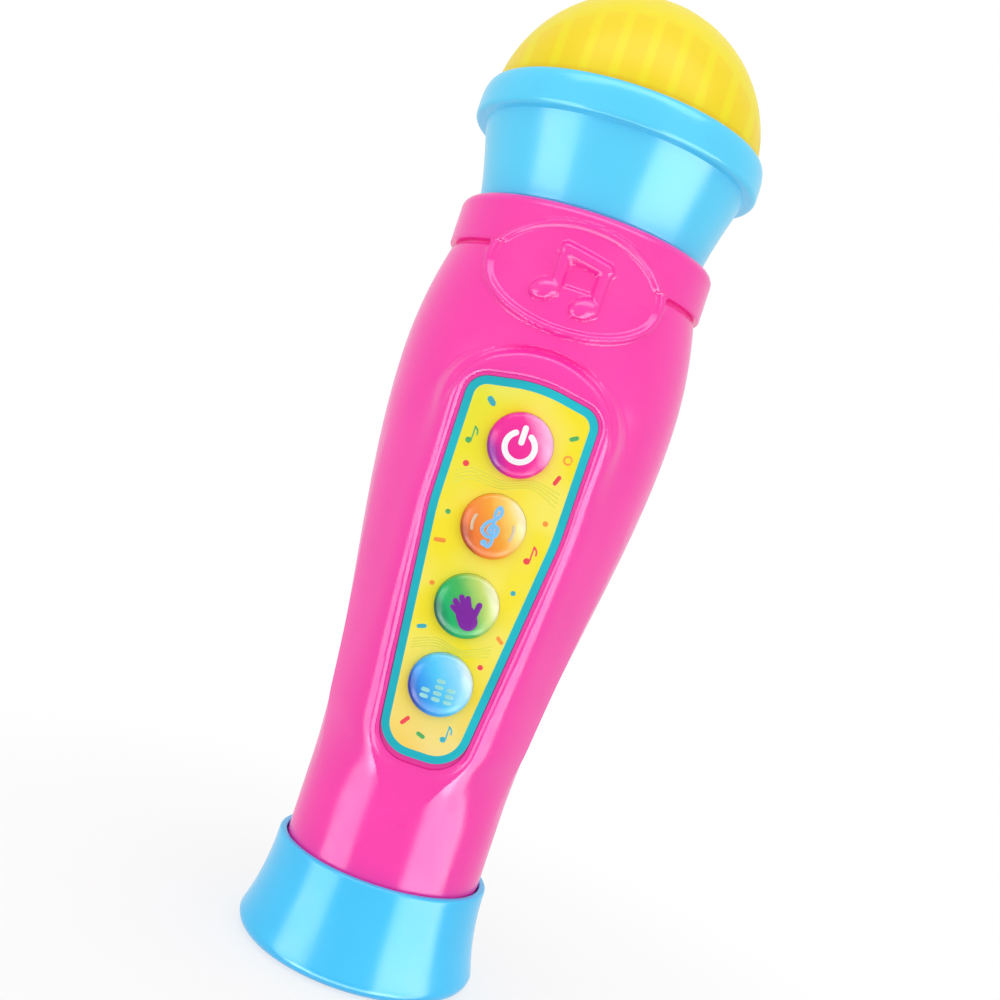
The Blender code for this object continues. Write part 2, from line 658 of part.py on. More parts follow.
SCREW_HOLE = SCREW_RADIUS + FIT_GAP
HEAD_HOLE = SCREW_HEAD_RADIUS + FIT_GAP
SCREW_HEAD_BASE = SCREW_SEAT + FIT_GAP
SCREW_END = SCREW_HEAD_BASE - SCREW_LENGTH
POST_ROOT = WALL - POST_SKIN
shell_screw = screw_outline(SCREW_RADIUS, SCREW_END, SCREW_HEAD_BASE, SCREW_HEAD_RADIUS,
                            SCREW_HEAD_THICKNESS)
SHELL_SCREWS = ((NECK_HEIGHT - UPPER_SCREW_DROP, UPPER_SCREW_INSET),
                (LOWER_SCREW_HEIGHT, LOWER_SCREW_INSET))
screw_spots = [(side * (handle_radius(up) - inset), 0, up) for up, inset in SHELL_SCREWS for side in (-1, 1)]
for number, spot in enumerate(screw_spots, 1):
    rear_post = shell_post(spot, HEAD_HOLE + POST_WALL, SEAM_GAP / 2, SWELL_RADIUS, POST_ROOT)
    combine(rear_shell, "UNION", rear_post)
    front_post = shell_post(spot, SCREW_HOLE + POST_WALL, -SWELL_RADIUS, -SEAM_GAP / 2, POST_ROOT)
    combine(front_shell, "UNION", front_post)
    cut(rear_shell, disc(HEAD_HOLE, SCREW_SEAT, SWELL_RADIUS), None, spot, REARWARD)
    cut(rear_shell, disc(SCREW_HOLE, -SCREW_SEAT, 2 * SCREW_SEAT, TINY_STEPS), None, spot, REARWARD)
    cut(front_shell, disc(SCREW_HOLE, SCREW_END - FIT_GAP, SCREW_SEAT, TINY_STEPS), None, spot, REARWARD)
    place(f"shell_screw_{number}", turned(shell_screw, TINY_STEPS), STEEL, None, spot, REARWARD)


# Speaker, its cup and the sound slots
SPEAKER_HEIGHT = NECK_HEIGHT - SPEAKER_DROP
SPEAKER_FACE = SWELL_RADIUS - SPEAKER_SINK
CUP_RADIUS = SPEAKER_RADIUS + FIT_GAP + CUP_WALL
CUP_SEAT = SPEAKER_FACE + FIT_GAP
SPEAKER_SPOT = (0, 0, SPEAKER_HEIGHT)
speaker_cup = shell_post(SPEAKER_SPOT, CUP_RADIUS, CUP_SEAT - CUP_DEPTH, SWELL_RADIUS, POST_ROOT)
cut(speaker_cup, disc(SPEAKER_RADIUS + FIT_GAP, 0, CUP_SEAT), None, SPEAKER_SPOT, REARWARD)
cup_mouth = shell_post(SPEAKER_SPOT, SPEAKER_RADIUS - CUP_LEDGE, 0, SWELL_RADIUS, WALL + FIT_GAP)
combine(speaker_cup, "DIFFERENCE", cup_mouth)
combine(rear_shell, "UNION", speaker_cup)
for i, half_length in enumerate(SLOT_HALF_LENGTHS):
    rise = (i - (len(SLOT_HALF_LENGTHS) - 1) / 2) * SLOT_PITCH
    slot = arc((half_length, rise), SLOT_HALF_HEIGHT, -90, 90, 4)
    slot += arc((-half_length, rise), SLOT_HALF_HEIGHT, 90, 270, 4)
    cut(rear_shell, prism(slot, CUP_SEAT, 2 * SWELL_RADIUS), None, SPEAKER_SPOT, REARWARD)

SPEAKER_PLACE = (0, SPEAKER_FACE, SPEAKER_HEIGHT)
rim_inside = SPEAKER_RADIUS - SPEAKER_FLANGE
basket_back = -BASKET_DEPTH - BASKET_SKIN
basket = [(SPEAKER_RADIUS, 0), (rim_inside, 0), (rim_inside, -SPEAKER_RIM),
          (BASKET_FLOOR_RADIUS, -BASKET_DEPTH), (COIL_HOLE, -BASKET_DEPTH), (COIL_HOLE, basket_back),
          (BASKET_FLOOR_RADIUS + BASKET_SKIN / 2, basket_back),
          (rim_inside + BASKET_SKIN, -SPEAKER_RIM), (SPEAKER_RADIUS, -SPEAKER_RIM)]
place("speaker_frame", turned(basket, SMALL_STEPS), STEEL, None, SPEAKER_PLACE, REARWARD)
cone_rim = rim_inside - FIT_GAP
roll = cone_rim - 2 * BASKET_SKIN
skin = BASKET_SKIN / 2
paper = [(cone_rim, 0), (roll, -skin), (COIL_HOLE, -BASKET_DEPTH / 2), (0, -BASKET_DEPTH / 3),
         (0, -BASKET_DEPTH / 3 - skin), (COIL_HOLE, -BASKET_DEPTH / 2 - BASKET_SKIN),
         (roll, -2 * skin), (cone_rim, -skin)]
place("speaker_cone", turned(paper, SMALL_STEPS), CONE_PAPER, None, SPEAKER_PLACE, REARWARD)
magnet_top = basket_back - FIT_GAP
magnet = disc(MAGNET_RADIUS, magnet_top - MAGNET_DEPTH, magnet_top)
place("speaker_magnet", magnet, STEEL, None, SPEAKER_PLACE, REARWARD)


# Batteries, tray and contacts
CELL_SIDE = CELL_RADIUS + CELL_SPACE / 2
BAY_HALF = CELL_SIDE + CELL_RADIUS + FIT_GAP
TRAY_BOTTOM = NECK_HEIGHT - TRAY_DROP
BAY_BOTTOM = TRAY_BOTTOM + TRAY_WALL
BAY_TOP = BAY_BOTTOM + CELL_LENGTH + SPRING_LENGTH + 2 * PLATE_THICKNESS + 5 * FIT_GAP
BAY_FRONT = CELL_BEHIND - CELL_RADIUS - FIT_GAP
TRAY_TOP = BAY_TOP + TRAY_WALL
PLATE_LOW = BAY_BOTTOM + FIT_GAP
PLATE_HIGH = BAY_TOP - FIT_GAP - PLATE_THICKNESS

tray_block = box((-BAY_HALF - TRAY_WALL, BAY_FRONT - TRAY_WALL, TRAY_BOTTOM),
                 (BAY_HALF + TRAY_WALL, SWELL_RADIUS, TRAY_TOP))
battery_tray = place("battery_tray", tray_block, TRAY_PLASTIC)
combine(battery_tray, "INTERSECT", handle_core(WALL + FIT_GAP))
cut(battery_tray, box((-BAY_HALF, BAY_FRONT, BAY_BOTTOM), (BAY_HALF, 2 * SWELL_RADIUS, BAY_TOP)))
TAB_SLOT_HALF = TAB_HALF + FIT_GAP
TAB_SLOT_DEPTH = PLATE_THICKNESS / 2 + FIT_GAP
for side in (-1, 1):
    middle = side * CELL_SIDE
    cut(battery_tray, box((middle - TAB_SLOT_HALF, CELL_BEHIND - TAB_SLOT_DEPTH, PLATE_HIGH),
                          (middle + TAB_SLOT_HALF, CELL_BEHIND + TAB_SLOT_DEPTH, 2 * TRAY_TOP)))


def cell(name, side, low, nub_up):
    shoulder = CELL_LENGTH - CELL_NUB_HEIGHT
    end_radius = CELL_RADIUS - CELL_EDGE
    outline = [(0, 0), (end_radius, 0), (CELL_RADIUS, CELL_EDGE), (CELL_RADIUS, shoulder - CELL_EDGE),
               (end_radius, shoulder), (CELL_NUB_RADIUS, shoulder), (CELL_NUB_RADIUS, CELL_LENGTH),
               (0, CELL_LENGTH)]
    spot = (side * CELL_SIDE, CELL_BEHIND, low if nub_up else low + CELL_LENGTH)
    place(name, turned(outline, SMALL_STEPS), CELL_JACKET, None, spot, (0 if nub_up else math.pi, 0, 0))


CELL_LOW = PLATE_LOW + PLATE_THICKNESS + FIT_GAP
cell("battery_left", -1, CELL_LOW + SPRING_LENGTH + FIT_GAP, True)
cell("battery_right", 1, CELL_LOW, False)


def conical_spring(name, side, wide_end, narrow_end):
    """A conical contact spring whose least gap to itself is measured on its own points."""
    low = wide_end + math.copysign(SPRING_WIRE, narrow_end - wide_end)
    high = narrow_end - math.copysign(SPRING_WIRE, narrow_end - wide_end)
    count = round(SPRING_TURNS * SPRING_POINTS)
    path = []
    for t in spread(0, 1, count):
        angle = 2 * math.pi * SPRING_TURNS * t
        radius = SPRING_WIDE + (SPRING_NARROW - SPRING_WIDE) * t
        path.append(Vector((side * CELL_SIDE + radius * math.cos(angle),
                            CELL_BEHIND + radius * math.sin(angle), low + (high - low) * t)))
    apart = SPRING_POINTS // 2
    least = min((path[i] - path[j]).length for i in range(count + 1) for j in range(i + apart, count + 1))
    print(f"{name}: least gap to itself {1000 * (least - 2 * SPRING_WIRE):.2f} mm")
    tube(name, path, SPRING_WIRE, STEEL, sides=1)


conical_spring("bridge_spring", -1, CELL_LOW, CELL_LOW + SPRING_LENGTH)
conical_spring("contact_spring", 1, PLATE_HIGH - FIT_GAP, PLATE_HIGH - FIT_GAP - SPRING_LENGTH)
PLATE_FRONT = CELL_BEHIND - PLATE_HALF
PLATE_REAR = CELL_BEHIND + PLATE_HALF
bridge = box((-CELL_SIDE - PLATE_HALF, PLATE_FRONT, PLATE_LOW),
             (CELL_SIDE + PLATE_HALF, PLATE_REAR, PLATE_LOW + PLATE_THICKNESS))
place("bridge_plate", bridge, STEEL)
TAB_TOP = TRAY_TOP + TAB_REACH
for name, side in (("contact_plate_plus", -1), ("contact_plate_minus", 1)):
    middle = side * CELL_SIDE
    plate = place(name, box((middle - PLATE_HALF, PLATE_FRONT, PLATE_HIGH),
                            (middle + PLATE_HALF, PLATE_REAR, PLATE_HIGH + PLATE_THICKNESS)), STEEL)
    add(plate, box((middle - TAB_HALF, CELL_BEHIND - PLATE_THICKNESS / 2, PLATE_HIGH + PLATE_THICKNESS / 2),
                   (middle + TAB_HALF, CELL_BEHIND + PLATE_THICKNESS / 2, TAB_TOP)))


# Battery door, its seat in the rear shell and its screw
DOOR_HALF = BAY_HALF + DOOR_MARGIN
DOOR_BOTTOM = TRAY_BOTTOM - DOOR_BELOW
DOOR_TOP = TRAY_TOP + DOOR_ABOVE
DOOR_SCREW_HEIGHT = DOOR_BOTTOM + DOOR_SCREW_UP
SEAT_DEPTH = DOOR_THICKNESS + FIT_GAP
DOOR_FACE = handle_radius(DOOR_SCREW_HEIGHT)
CUP_END = DOOR_FACE - DOOR_CUP_DEPTH
WELL_MOUTH = CUP_END - FIT_GAP
SCREW_TIP = WELL_MOUTH - DOOR_SCREW_GRIP
WELL_END = SCREW_TIP - FIT_GAP
WELL_RADIUS = DOOR_CUP_RADIUS + SWING_GAP
DOOR_SCREW_SPOT = (0, 0, DOOR_SCREW_HEIGHT)

recess = tool(box((-DOOR_HALF - FIT_GAP, CELL_BEHIND, DOOR_BOTTOM - FIT_GAP),
                  (DOOR_HALF + FIT_GAP, 2 * SWELL_RADIUS, DOOR_TOP + FIT_GAP)))
combine(recess, "DIFFERENCE", handle_core(SEAT_DEPTH))
combine(rear_shell, "DIFFERENCE", recess)
cut(rear_shell, box((-BAY_HALF, CELL_BEHIND, BAY_BOTTOM), (BAY_HALF, 2 * SWELL_RADIUS, BAY_TOP)))
cut(rear_shell, box((-HOOK_HALF - FIT_GAP, CELL_BEHIND, TRAY_TOP),
                    (HOOK_HALF + FIT_GAP, 2 * SWELL_RADIUS, DOOR_TOP + FIT_GAP)))
well = shell_post(DOOR_SCREW_SPOT, WELL_RADIUS + DOOR_WELL_WALL, WELL_END - DOOR_WELL_FLOOR, SWELL_RADIUS,
                  POST_ROOT + FIT_GAP)
combine(rear_shell, "UNION", well)
cut(rear_shell, disc(WELL_RADIUS, WELL_MOUTH, SWELL_RADIUS), None, DOOR_SCREW_SPOT, REARWARD)
swing_hole = disc(DOOR_SCREW_RADIUS + SWING_GAP, WELL_END, SWELL_RADIUS, TINY_STEPS)
cut(rear_shell, swing_hole, None, DOOR_SCREW_SPOT, REARWARD)

door_skin = tool(box((-DOOR_HALF, CELL_BEHIND, DOOR_BOTTOM), (DOOR_HALF, 2 * SWELL_RADIUS, DOOR_TOP)))
combine(door_skin, "INTERSECT", handle_core(0))
combine(door_skin, "DIFFERENCE", handle_core(DOOR_THICKNESS))
hinge_line = handle_radius(DOOR_TOP)
hook_back = hinge_line - HOOK_INSET
hook_front = hook_back - HOOK_THICKNESS
hook_top = DOOR_TOP - HOOK_DROP
add(door_skin, box((-HOOK_HALF, hook_front, hook_top - HOOK_BASE),
                   (HOOK_HALF, hinge_line - DOOR_THICKNESS, hook_top)))
add(door_skin, box((-HOOK_HALF, hook_front, DOOR_TOP - HOOK_BASE),
                   (HOOK_HALF, hook_back, DOOR_TOP + HOOK_REACH)))
screw_cup = shell_post(DOOR_SCREW_SPOT, DOOR_CUP_RADIUS, CUP_END, SWELL_RADIUS, DOOR_THICKNESS / 2)
combine(door_skin, "UNION", screw_cup)
head_seat = disc(DOOR_SCREW_HEAD + FIT_GAP, CUP_END + DOOR_CUP_FLOOR, SWELL_RADIUS)
cut(door_skin, head_seat, None, DOOR_SCREW_SPOT, REARWARD)
shank_hole = disc(DOOR_SCREW_RADIUS + FIT_GAP, 0, SWELL_RADIUS, TINY_STEPS)
cut(door_skin, shank_hole, None, DOOR_SCREW_SPOT, REARWARD)
HINGE = Vector((0, hinge_line, DOOR_TOP))
door_mesh = door_skin.data
for vert in door_mesh.vertices:
    vert.co -= HINGE
bpy.data.objects.remove(door_skin, do_unlink=True)
battery_door = place("battery_door", door_mesh, PINK, None, HINGE)

door_screw = screw_outline(DOOR_SCREW_RADIUS, SCREW_TIP, CUP_END + DOOR_CUP_FLOOR + FIT_GAP, DOOR_SCREW_HEAD,
                           DOOR_SCREW_HEAD_THICKNESS)
place("battery_door_screw", turned(door_screw, TINY_STEPS), STEEL, None, DOOR_SCREW_SPOT, REARWARD)


# Label, buttons, contact pads and circuit board, in the panel's frame
label_sheet = prism(offset(PANEL_OUTLINE, -FIT_GAP), FIT_GAP, FIT_GAP + LABEL_THICKNESS)
panel_label = place("panel_label", label_sheet, PRINT, panel_frame)
for up in BUTTON_PLACES:
    cut(panel_label, disc(BUTTON_HOLE, -PANEL_FLOOR, PANEL_FLOOR), panel_frame, (0, up, 0))

crown = [(BUTTON_RADIUS * math.sin(a), BUTTON_EDGE + (BUTTON_RISE - BUTTON_EDGE) * math.cos(a))
         for a in spread(0, math.pi / 2, 4)]
flange_radius = BUTTON_RADIUS + BUTTON_FLANGE
flange_back = FLANGE_FACE - BUTTON_FLANGE_THICKNESS
button_outline = crown + [(BUTTON_RADIUS, FLANGE_FACE), (flange_radius, FLANGE_FACE),
                          (flange_radius, flange_back), (BUTTON_STEM_RADIUS, flange_back),
                          (BUTTON_STEM_RADIUS, STEM_END), (0, STEM_END)]
pad_base = PAD_TOP - PAD_HEIGHT
pad_outline = [(0, PAD_TOP), (PAD_TOP_RADIUS, PAD_TOP), (PAD_TOP_RADIUS, PAD_TOP - PAD_FOOT_THICKNESS),
               (PAD_FOOT_RADIUS, pad_base + PAD_FOOT_THICKNESS), (PAD_FOOT_RADIUS, pad_base), (0, pad_base)]
for name, up in zip(BUTTON_NAMES, BUTTON_PLACES):
    button = turned(button_outline, SMALL_STEPS)
    place(f"button_{name}", button, BUTTON_COLOURS[name], panel_frame, (0, up, 0))
    place(f"contact_pad_{name}", turned(pad_outline, TINY_STEPS), SILICONE, panel_frame, (0, up, 0))

board_sheet = box((-BOARD_HALF_WIDTH, BOARD_BOTTOM, BOARD_BACK), (BOARD_HALF_WIDTH, BOARD_TOP, BOARD_FACE))
circuit_board = place("circuit_board", board_sheet, BOARD_GREEN, panel_frame)
screw_head = BOARD_BACK - FIT_GAP
head_end = screw_head - BOARD_SCREW_HEAD_THICKNESS
shank_end = screw_head + BOARD_SCREW_LENGTH
board_screw = [(0, head_end), (BOARD_SCREW_HEAD, head_end), (BOARD_SCREW_HEAD, screw_head),
               (BOARD_SCREW_RADIUS, screw_head), (BOARD_SCREW_RADIUS, shank_end), (0, shank_end)]
for number, (across, up) in enumerate(BOARD_SCREW_PLACES, 1):
    cut(circuit_board, disc(BOARD_SCREW_HOLE, 2 * BOARD_BACK, 0, TINY_STEPS), panel_frame, (across, up, 0))
    place(f"board_screw_{number}", turned(board_screw, TINY_STEPS), STEEL, panel_frame, (across, up, 0))
part_seat = BOARD_BACK - FIT_GAP
blob = [(CHIP_RADIUS * math.sin(a), part_seat - CHIP_HEIGHT * math.cos(a))
        for a in spread(0, math.pi / 2, 4)]
place("sound_chip", turned(blob + [(0, part_seat)], SMALL_STEPS), EPOXY, panel_frame, (0, CHIP_PLACE, 0))
can = disc(CAN_RADIUS, part_seat - CAN_LENGTH, part_seat, TINY_STEPS)
place("capacitor", can, EPOXY, panel_frame, (*CAN_PLACE, 0))


# Base cap
pocket = GRIP_RADIUS + FIT_GAP
CAP_RIM_RADIUS = pocket + CAP_WALL


def cap_radius(height):
    return CAP_RIM_RADIUS + CAP_SPREAD * (1 - height / CAP_HEIGHT) ** CAP_FLARE


groove = BEAD_WIDTH / 2 + FIT_GAP
edge_centre = (cap_radius(CAP_EDGE) - CAP_EDGE, CAP_EDGE)
cap_outline = [(0, 0)] + arc(edge_centre, CAP_EDGE, -90, 0, 3)
cap_outline += [(cap_radius(level), level) for level in spread(CAP_EDGE, CAP_HEIGHT - CAP_RIM_ROUND, 5)[1:]]
cap_outline += [(CAP_RIM_RADIUS - CAP_RIM_ROUND, CAP_HEIGHT), (pocket, CAP_HEIGHT),
                (pocket, BEAD_HEIGHT + groove + BEAD_DEPTH), (pocket + BEAD_DEPTH, BEAD_HEIGHT + groove),
                (pocket + BEAD_DEPTH, BEAD_HEIGHT - groove), (pocket, BEAD_HEIGHT - groove - BEAD_DEPTH),
                (pocket, CAP_FLOOR), (0, CAP_FLOOR)]
place("base_cap", turned(cap_outline), BLUE)


# Head collar
CONE_FOOT = COLLAR_TOP + FIT_GAP
BAND_BOTTOM = CONE_FOOT + CONE_HEIGHT
BAND_TOP = BAND_BOTTOM + BAND_HEIGHT
BAND_RADIUS = DOME_RADIUS + FIT_GAP + BAND_WALL
CONE_TOP_RADIUS = BAND_RADIUS - BAND_LIP
DECK_TOP = BAND_BOTTOM - DECK_DROP


def cone_radius(height):
    rise = (height - CONE_FOOT) / (BAND_BOTTOM - CONE_FOOT)
    return CONE_FOOT_RADIUS + (CONE_TOP_RADIUS - CONE_FOOT_RADIUS) * max(0, rise) ** CONE_FLARE


flange_edge = COLLAR_RADIUS - WALL - FIT_GAP
head_bore = SPIGOT_RADIUS - HEAD_WALL
seat = BAND_BOTTOM + DOME_SEAT
seat_edge = DOME_RADIUS + FIT_GAP
deck_bottom = DECK_TOP - DECK_THICKNESS
head_outline = [(head_bore, FLANGE_BOTTOM), (flange_edge, FLANGE_BOTTOM), (flange_edge, FLANGE_TOP),
                (SPIGOT_RADIUS, FLANGE_TOP), (SPIGOT_RADIUS, CONE_FOOT)]
head_outline += [(cone_radius(level), level) for level in spread(CONE_FOOT, BAND_BOTTOM, 5)]
head_outline += [(BAND_RADIUS - BAND_CHAMFER, BAND_BOTTOM), (BAND_RADIUS, BAND_BOTTOM + BAND_CHAMFER)]
head_outline += [(BAND_RADIUS - BAND_ROUND * (1 - math.cos(a)), BAND_TOP - BAND_FALL * (1 - math.sin(a)))
                 for a in spread(0, math.pi / 2, 4)]
head_outline += [(seat_edge, BAND_TOP), (seat_edge, seat), (seat_edge - SEAT_WIDTH, seat),
                 (seat_edge - SEAT_WIDTH, BAND_BOTTOM), (cone_radius(DECK_TOP) - HEAD_WALL, DECK_TOP),
                 (DECK_HOLE, DECK_TOP), (DECK_HOLE, deck_bottom),
                 (cone_radius(deck_bottom) - HEAD_WALL, deck_bottom),
                 (cone_radius(CONE_FOOT) - HEAD_WALL, CONE_FOOT + HEAD_WALL), (head_bore, CONE_FOOT)]
place("head_collar", turned(head_outline), BLUE)


# Dome, with ribs down its inside
DOME_CENTRE = BAND_TOP - DOME_SINK
dome_inside = DOME_RADIUS - DOME_WALL
rib_top = DOME_CENTRE + dome_inside * math.sin(math.radians(90 * DOME_RIB_END / DOME_ARC_STEPS))


def dome_rib(vert):
    """Draw every second meridian of the inner face inwards, up to where the ribs stop."""
    radius = math.hypot(vert.co.x, vert.co.y)
    from_centre = math.hypot(radius, max(0, vert.co.z - DOME_CENTRE))
    meridian = round(math.atan2(vert.co.y, vert.co.x) * DOME_RIBS / math.pi)
    if from_centre < DOME_RADIUS - DOME_WALL / 2 and vert.co.z < rib_top and meridian % 2:
        vert.co.x *= 1 - DOME_RIB_DEPTH / radius
        vert.co.y *= 1 - DOME_RIB_DEPTH / radius


dome_foot = seat + FIT_GAP
dome_outline = [(DOME_RADIUS, dome_foot)] + arc((0, DOME_CENTRE), DOME_RADIUS, 0, 90, DOME_ARC_STEPS)
dome_outline += arc((0, DOME_CENTRE), dome_inside, 90, 0, DOME_ARC_STEPS) + [(dome_inside, dome_foot)]
place("dome_cover", turned(dome_outline, 2 * DOME_RIBS, ripple=dome_rib), YELLOW_DOME)


# Lamps in the head
lamp_board_low = DECK_TOP + FIT_GAP
lamp_low = lamp_board_low + BOARD_THICKNESS + FIT_GAP
place("lamp_board", disc(LAMP_BOARD_RADIUS, lamp_board_low, lamp_board_low + BOARD_THICKNESS), BOARD_GREEN)
lamp_foot = LAMP_RADIUS + LAMP_RIM
lamp_outline = [(0, 0), (lamp_foot, 0), (lamp_foot, LAMP_RIM * 2), (LAMP_RADIUS, LAMP_RIM * 2)]
lamp_outline += arc((0, LAMP_HEIGHT - LAMP_RADIUS), LAMP_RADIUS, 0, 90, 3)
for number in range(LAMP_COUNT):
    turn = 2 * math.pi * number / LAMP_COUNT + math.pi / 2
    place(f"lamp_{number + 1}", turned(lamp_outline, TINY_STEPS), LAMP_CLEAR, None,
          (LAMP_CIRCLE * math.cos(turn), LAMP_CIRCLE * math.sin(turn), lamp_low))


# Wires, each from a terminal to the back of the board
def wire(name, material, terminal, leave, across, up):
    """A wire that leaves its terminal along leave and meets the board's back squarely."""
    turn = panel_frame.matrix_world
    landing = turn @ Vector((across, up, BOARD_BACK - FIT_GAP - WIRE_RADIUS / 2))
    arrive = turn.to_3x3() @ Vector((0, 0, -BOARD_WIRE_LEAVE))
    tube(name, bent(terminal, leave, landing, arrive, WIRE_POINTS), WIRE_RADIUS, material)


speaker_terminal = (SPEAKER_FACE - SPEAKER_RIM - FIT_GAP,
                    SPEAKER_HEIGHT - SPEAKER_RADIUS + SPEAKER_FLANGE / 2)
battery_terminal = (CELL_BEHIND, TAB_TOP + FIT_GAP)
battery_landing = (TRAY_TOP - BATTERY_WIRE_BELOW - PANEL_HEIGHT) / math.cos(PANEL_TILT)
lamp_terminal = (0, lamp_board_low - FIT_GAP)
for side, word, colour in ((-1, "red", WIRE_RED), (1, "black", WIRE_BLACK)):
    across, up = SPEAKER_WIRE_PLACE
    wire(f"speaker_wire_{word}", colour, (side * across, *speaker_terminal), (0, -SPEAKER_WIRE_LEAVE, 0),
         side * across, up)
    wire(f"battery_wire_{word}", colour, (side * CELL_SIDE, *battery_terminal), (0, 0, BATTERY_WIRE_LEAVE),
         side * BATTERY_WIRE_ACROSS, battery_landing)
    across, up = LAMP_WIRE_PLACE
    wire(f"lamp_wire_{word}", colour, (side * across, *lamp_terminal), (0, 0, -LAMP_WIRE_LEAVE),
         side * across, up)
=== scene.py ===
import math

import bmesh
import bpy
import numpy as np
from mathutils import Matrix, Vector


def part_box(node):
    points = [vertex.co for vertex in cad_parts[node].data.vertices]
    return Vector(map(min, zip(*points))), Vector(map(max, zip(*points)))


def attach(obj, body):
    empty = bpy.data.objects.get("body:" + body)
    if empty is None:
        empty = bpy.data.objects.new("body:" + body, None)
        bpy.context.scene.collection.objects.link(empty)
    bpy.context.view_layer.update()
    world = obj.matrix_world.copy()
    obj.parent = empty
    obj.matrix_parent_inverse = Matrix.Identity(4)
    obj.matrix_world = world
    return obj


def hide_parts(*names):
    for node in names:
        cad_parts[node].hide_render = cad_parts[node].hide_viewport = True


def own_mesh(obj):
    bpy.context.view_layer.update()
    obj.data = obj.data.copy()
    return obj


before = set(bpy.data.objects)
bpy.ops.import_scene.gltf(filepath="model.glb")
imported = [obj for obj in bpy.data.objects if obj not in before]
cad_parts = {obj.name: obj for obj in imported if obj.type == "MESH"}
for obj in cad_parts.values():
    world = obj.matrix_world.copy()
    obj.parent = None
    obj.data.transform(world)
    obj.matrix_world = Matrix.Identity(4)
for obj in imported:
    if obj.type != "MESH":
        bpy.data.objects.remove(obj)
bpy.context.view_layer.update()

scene = bpy.context.scene


# small helpers for working on one object at a time
def deselect():
    if bpy.context.mode != "OBJECT":
        bpy.ops.object.mode_set(mode="OBJECT")
    bpy.ops.object.select_all(action="DESELECT")


def only(obj):
    deselect()
    obj.select_set(True)
    bpy.context.view_layer.objects.active = obj
    return obj


def edit(obj):
    only(obj)
    bpy.ops.object.mode_set(mode="EDIT")


def discard(obj):
    bpy.data.objects.remove(obj, do_unlink=True)


def named(name):
    obj = bpy.context.object
    obj.name = name
    obj.data.name = name
    return obj


def settle(obj, matrix=None):
    if matrix is not None:
        obj.matrix_world = matrix
    only(obj)
    bpy.ops.object.transform_apply(location=True, rotation=True, scale=True)
    return obj


def applyModifier(obj, kind, **settings):
    only(obj)
    modifier = obj.modifiers.new(kind.title(), kind)
    for key, value in settings.items():
        setattr(modifier, key, value)
    bpy.ops.object.modifier_apply(modifier=modifier.name)
    return obj


def combine(obj, other, operation):
    applyModifier(obj, "BOOLEAN", object=other, operation=operation, solver="MANIFOLD")
    discard(other)
    return obj


def cutAway(obj, other):
    return combine(obj, other, "DIFFERENCE")


def addOn(obj, other):
    return combine(obj, other, "UNION")


def selectAll():
    bpy.ops.mesh.select_all(action="SELECT")


def tidyNormals():
    selectAll()
    bpy.ops.mesh.remove_doubles(threshold=1e-7)
    bpy.ops.mesh.delete_loose(use_verts=True, use_edges=True, use_faces=False)
    selectAll()
    bpy.ops.mesh.normals_make_consistent(inside=False)
    bpy.ops.object.mode_set(mode="OBJECT")


# a profile of (radius, height) pulled out point by point, then spun about Z
def spinProfile(name, profile, steps=96):
    deselect()
    bpy.ops.mesh.primitive_plane_add(size=0.01)
    obj = named(name)
    bpy.ops.object.mode_set(mode="EDIT")
    selectAll()
    bpy.ops.mesh.merge(type="CENTER")
    selectAll()
    bpy.ops.transform.translate(value=(profile[0][0], 0, profile[0][1]))
    for start, end in zip(profile, profile[1:]):
        step = (end[0] - start[0], 0, end[1] - start[1])
        bpy.ops.mesh.extrude_region_move(TRANSFORM_OT_translate={"value": step})
    selectAll()
    bpy.ops.mesh.remove_doubles(threshold=1e-7)
    bpy.ops.mesh.spin(steps=steps, angle=2 * math.pi, center=(0, 0, 0), axis=(0, 0, 1))
    selectAll()
    bpy.ops.mesh.remove_doubles(threshold=1e-6)
    tidyNormals()
    return obj


# a flat outline extruded level by level; each level is a list of points with as many entries
def loftLevels(name, levels):
    deselect()
    bpy.ops.mesh.primitive_circle_add(vertices=len(levels[0]), radius=0.01, fill_type="NGON")
    obj = named(name)
    bpy.ops.object.mode_set(mode="EDIT")
    shape = bmesh.from_edit_mesh(obj.data)
    for vert, point in zip(shape.verts, levels[0]):
        vert.co = point
    bmesh.update_edit_mesh(obj.data)
    for before, after in zip(levels, levels[1:]):
        bpy.ops.mesh.extrude_region_move(TRANSFORM_OT_translate={"value": (0, 0, 0)})
        shape = bmesh.from_edit_mesh(obj.data)
        old = np.array(before)
        for vert in [v for v in shape.verts if v.select]:
            vert.co = after[int(np.argmin(((old - np.array(vert.co)) ** 2).sum(axis=1)))]
        bmesh.update_edit_mesh(obj.data)
    tidyNormals()
    return obj


def prism(name, outline, low, high, matrix=None):
    obj = loftLevels(name, [[(x, y, low) for x, y in outline], [(x, y, high) for x, y in outline]])
    return settle(obj, matrix) if matrix is not None else obj


def post(name, radius, low, high, matrix, sides=48):
    deselect()
    bpy.ops.mesh.primitive_cylinder_add(vertices=sides, radius=radius, depth=high - low,
                                        location=(0, 0, (low + high) / 2))
    return settle(settle(named(name)), matrix)


def block(name, low, high):
    deselect()
    middle = [(a + b) / 2 for a, b in zip(low, high)]
    bpy.ops.mesh.primitive_cube_add(size=1, location=middle)
    obj = named(name)
    obj.scale = [b - a for a, b in zip(low, high)]
    return settle(obj)


def spotsOf(obj):
    spots = np.empty(len(obj.data.vertices) * 3)
    obj.data.vertices.foreach_get("co", spots)
    return spots.reshape(-1, 3)


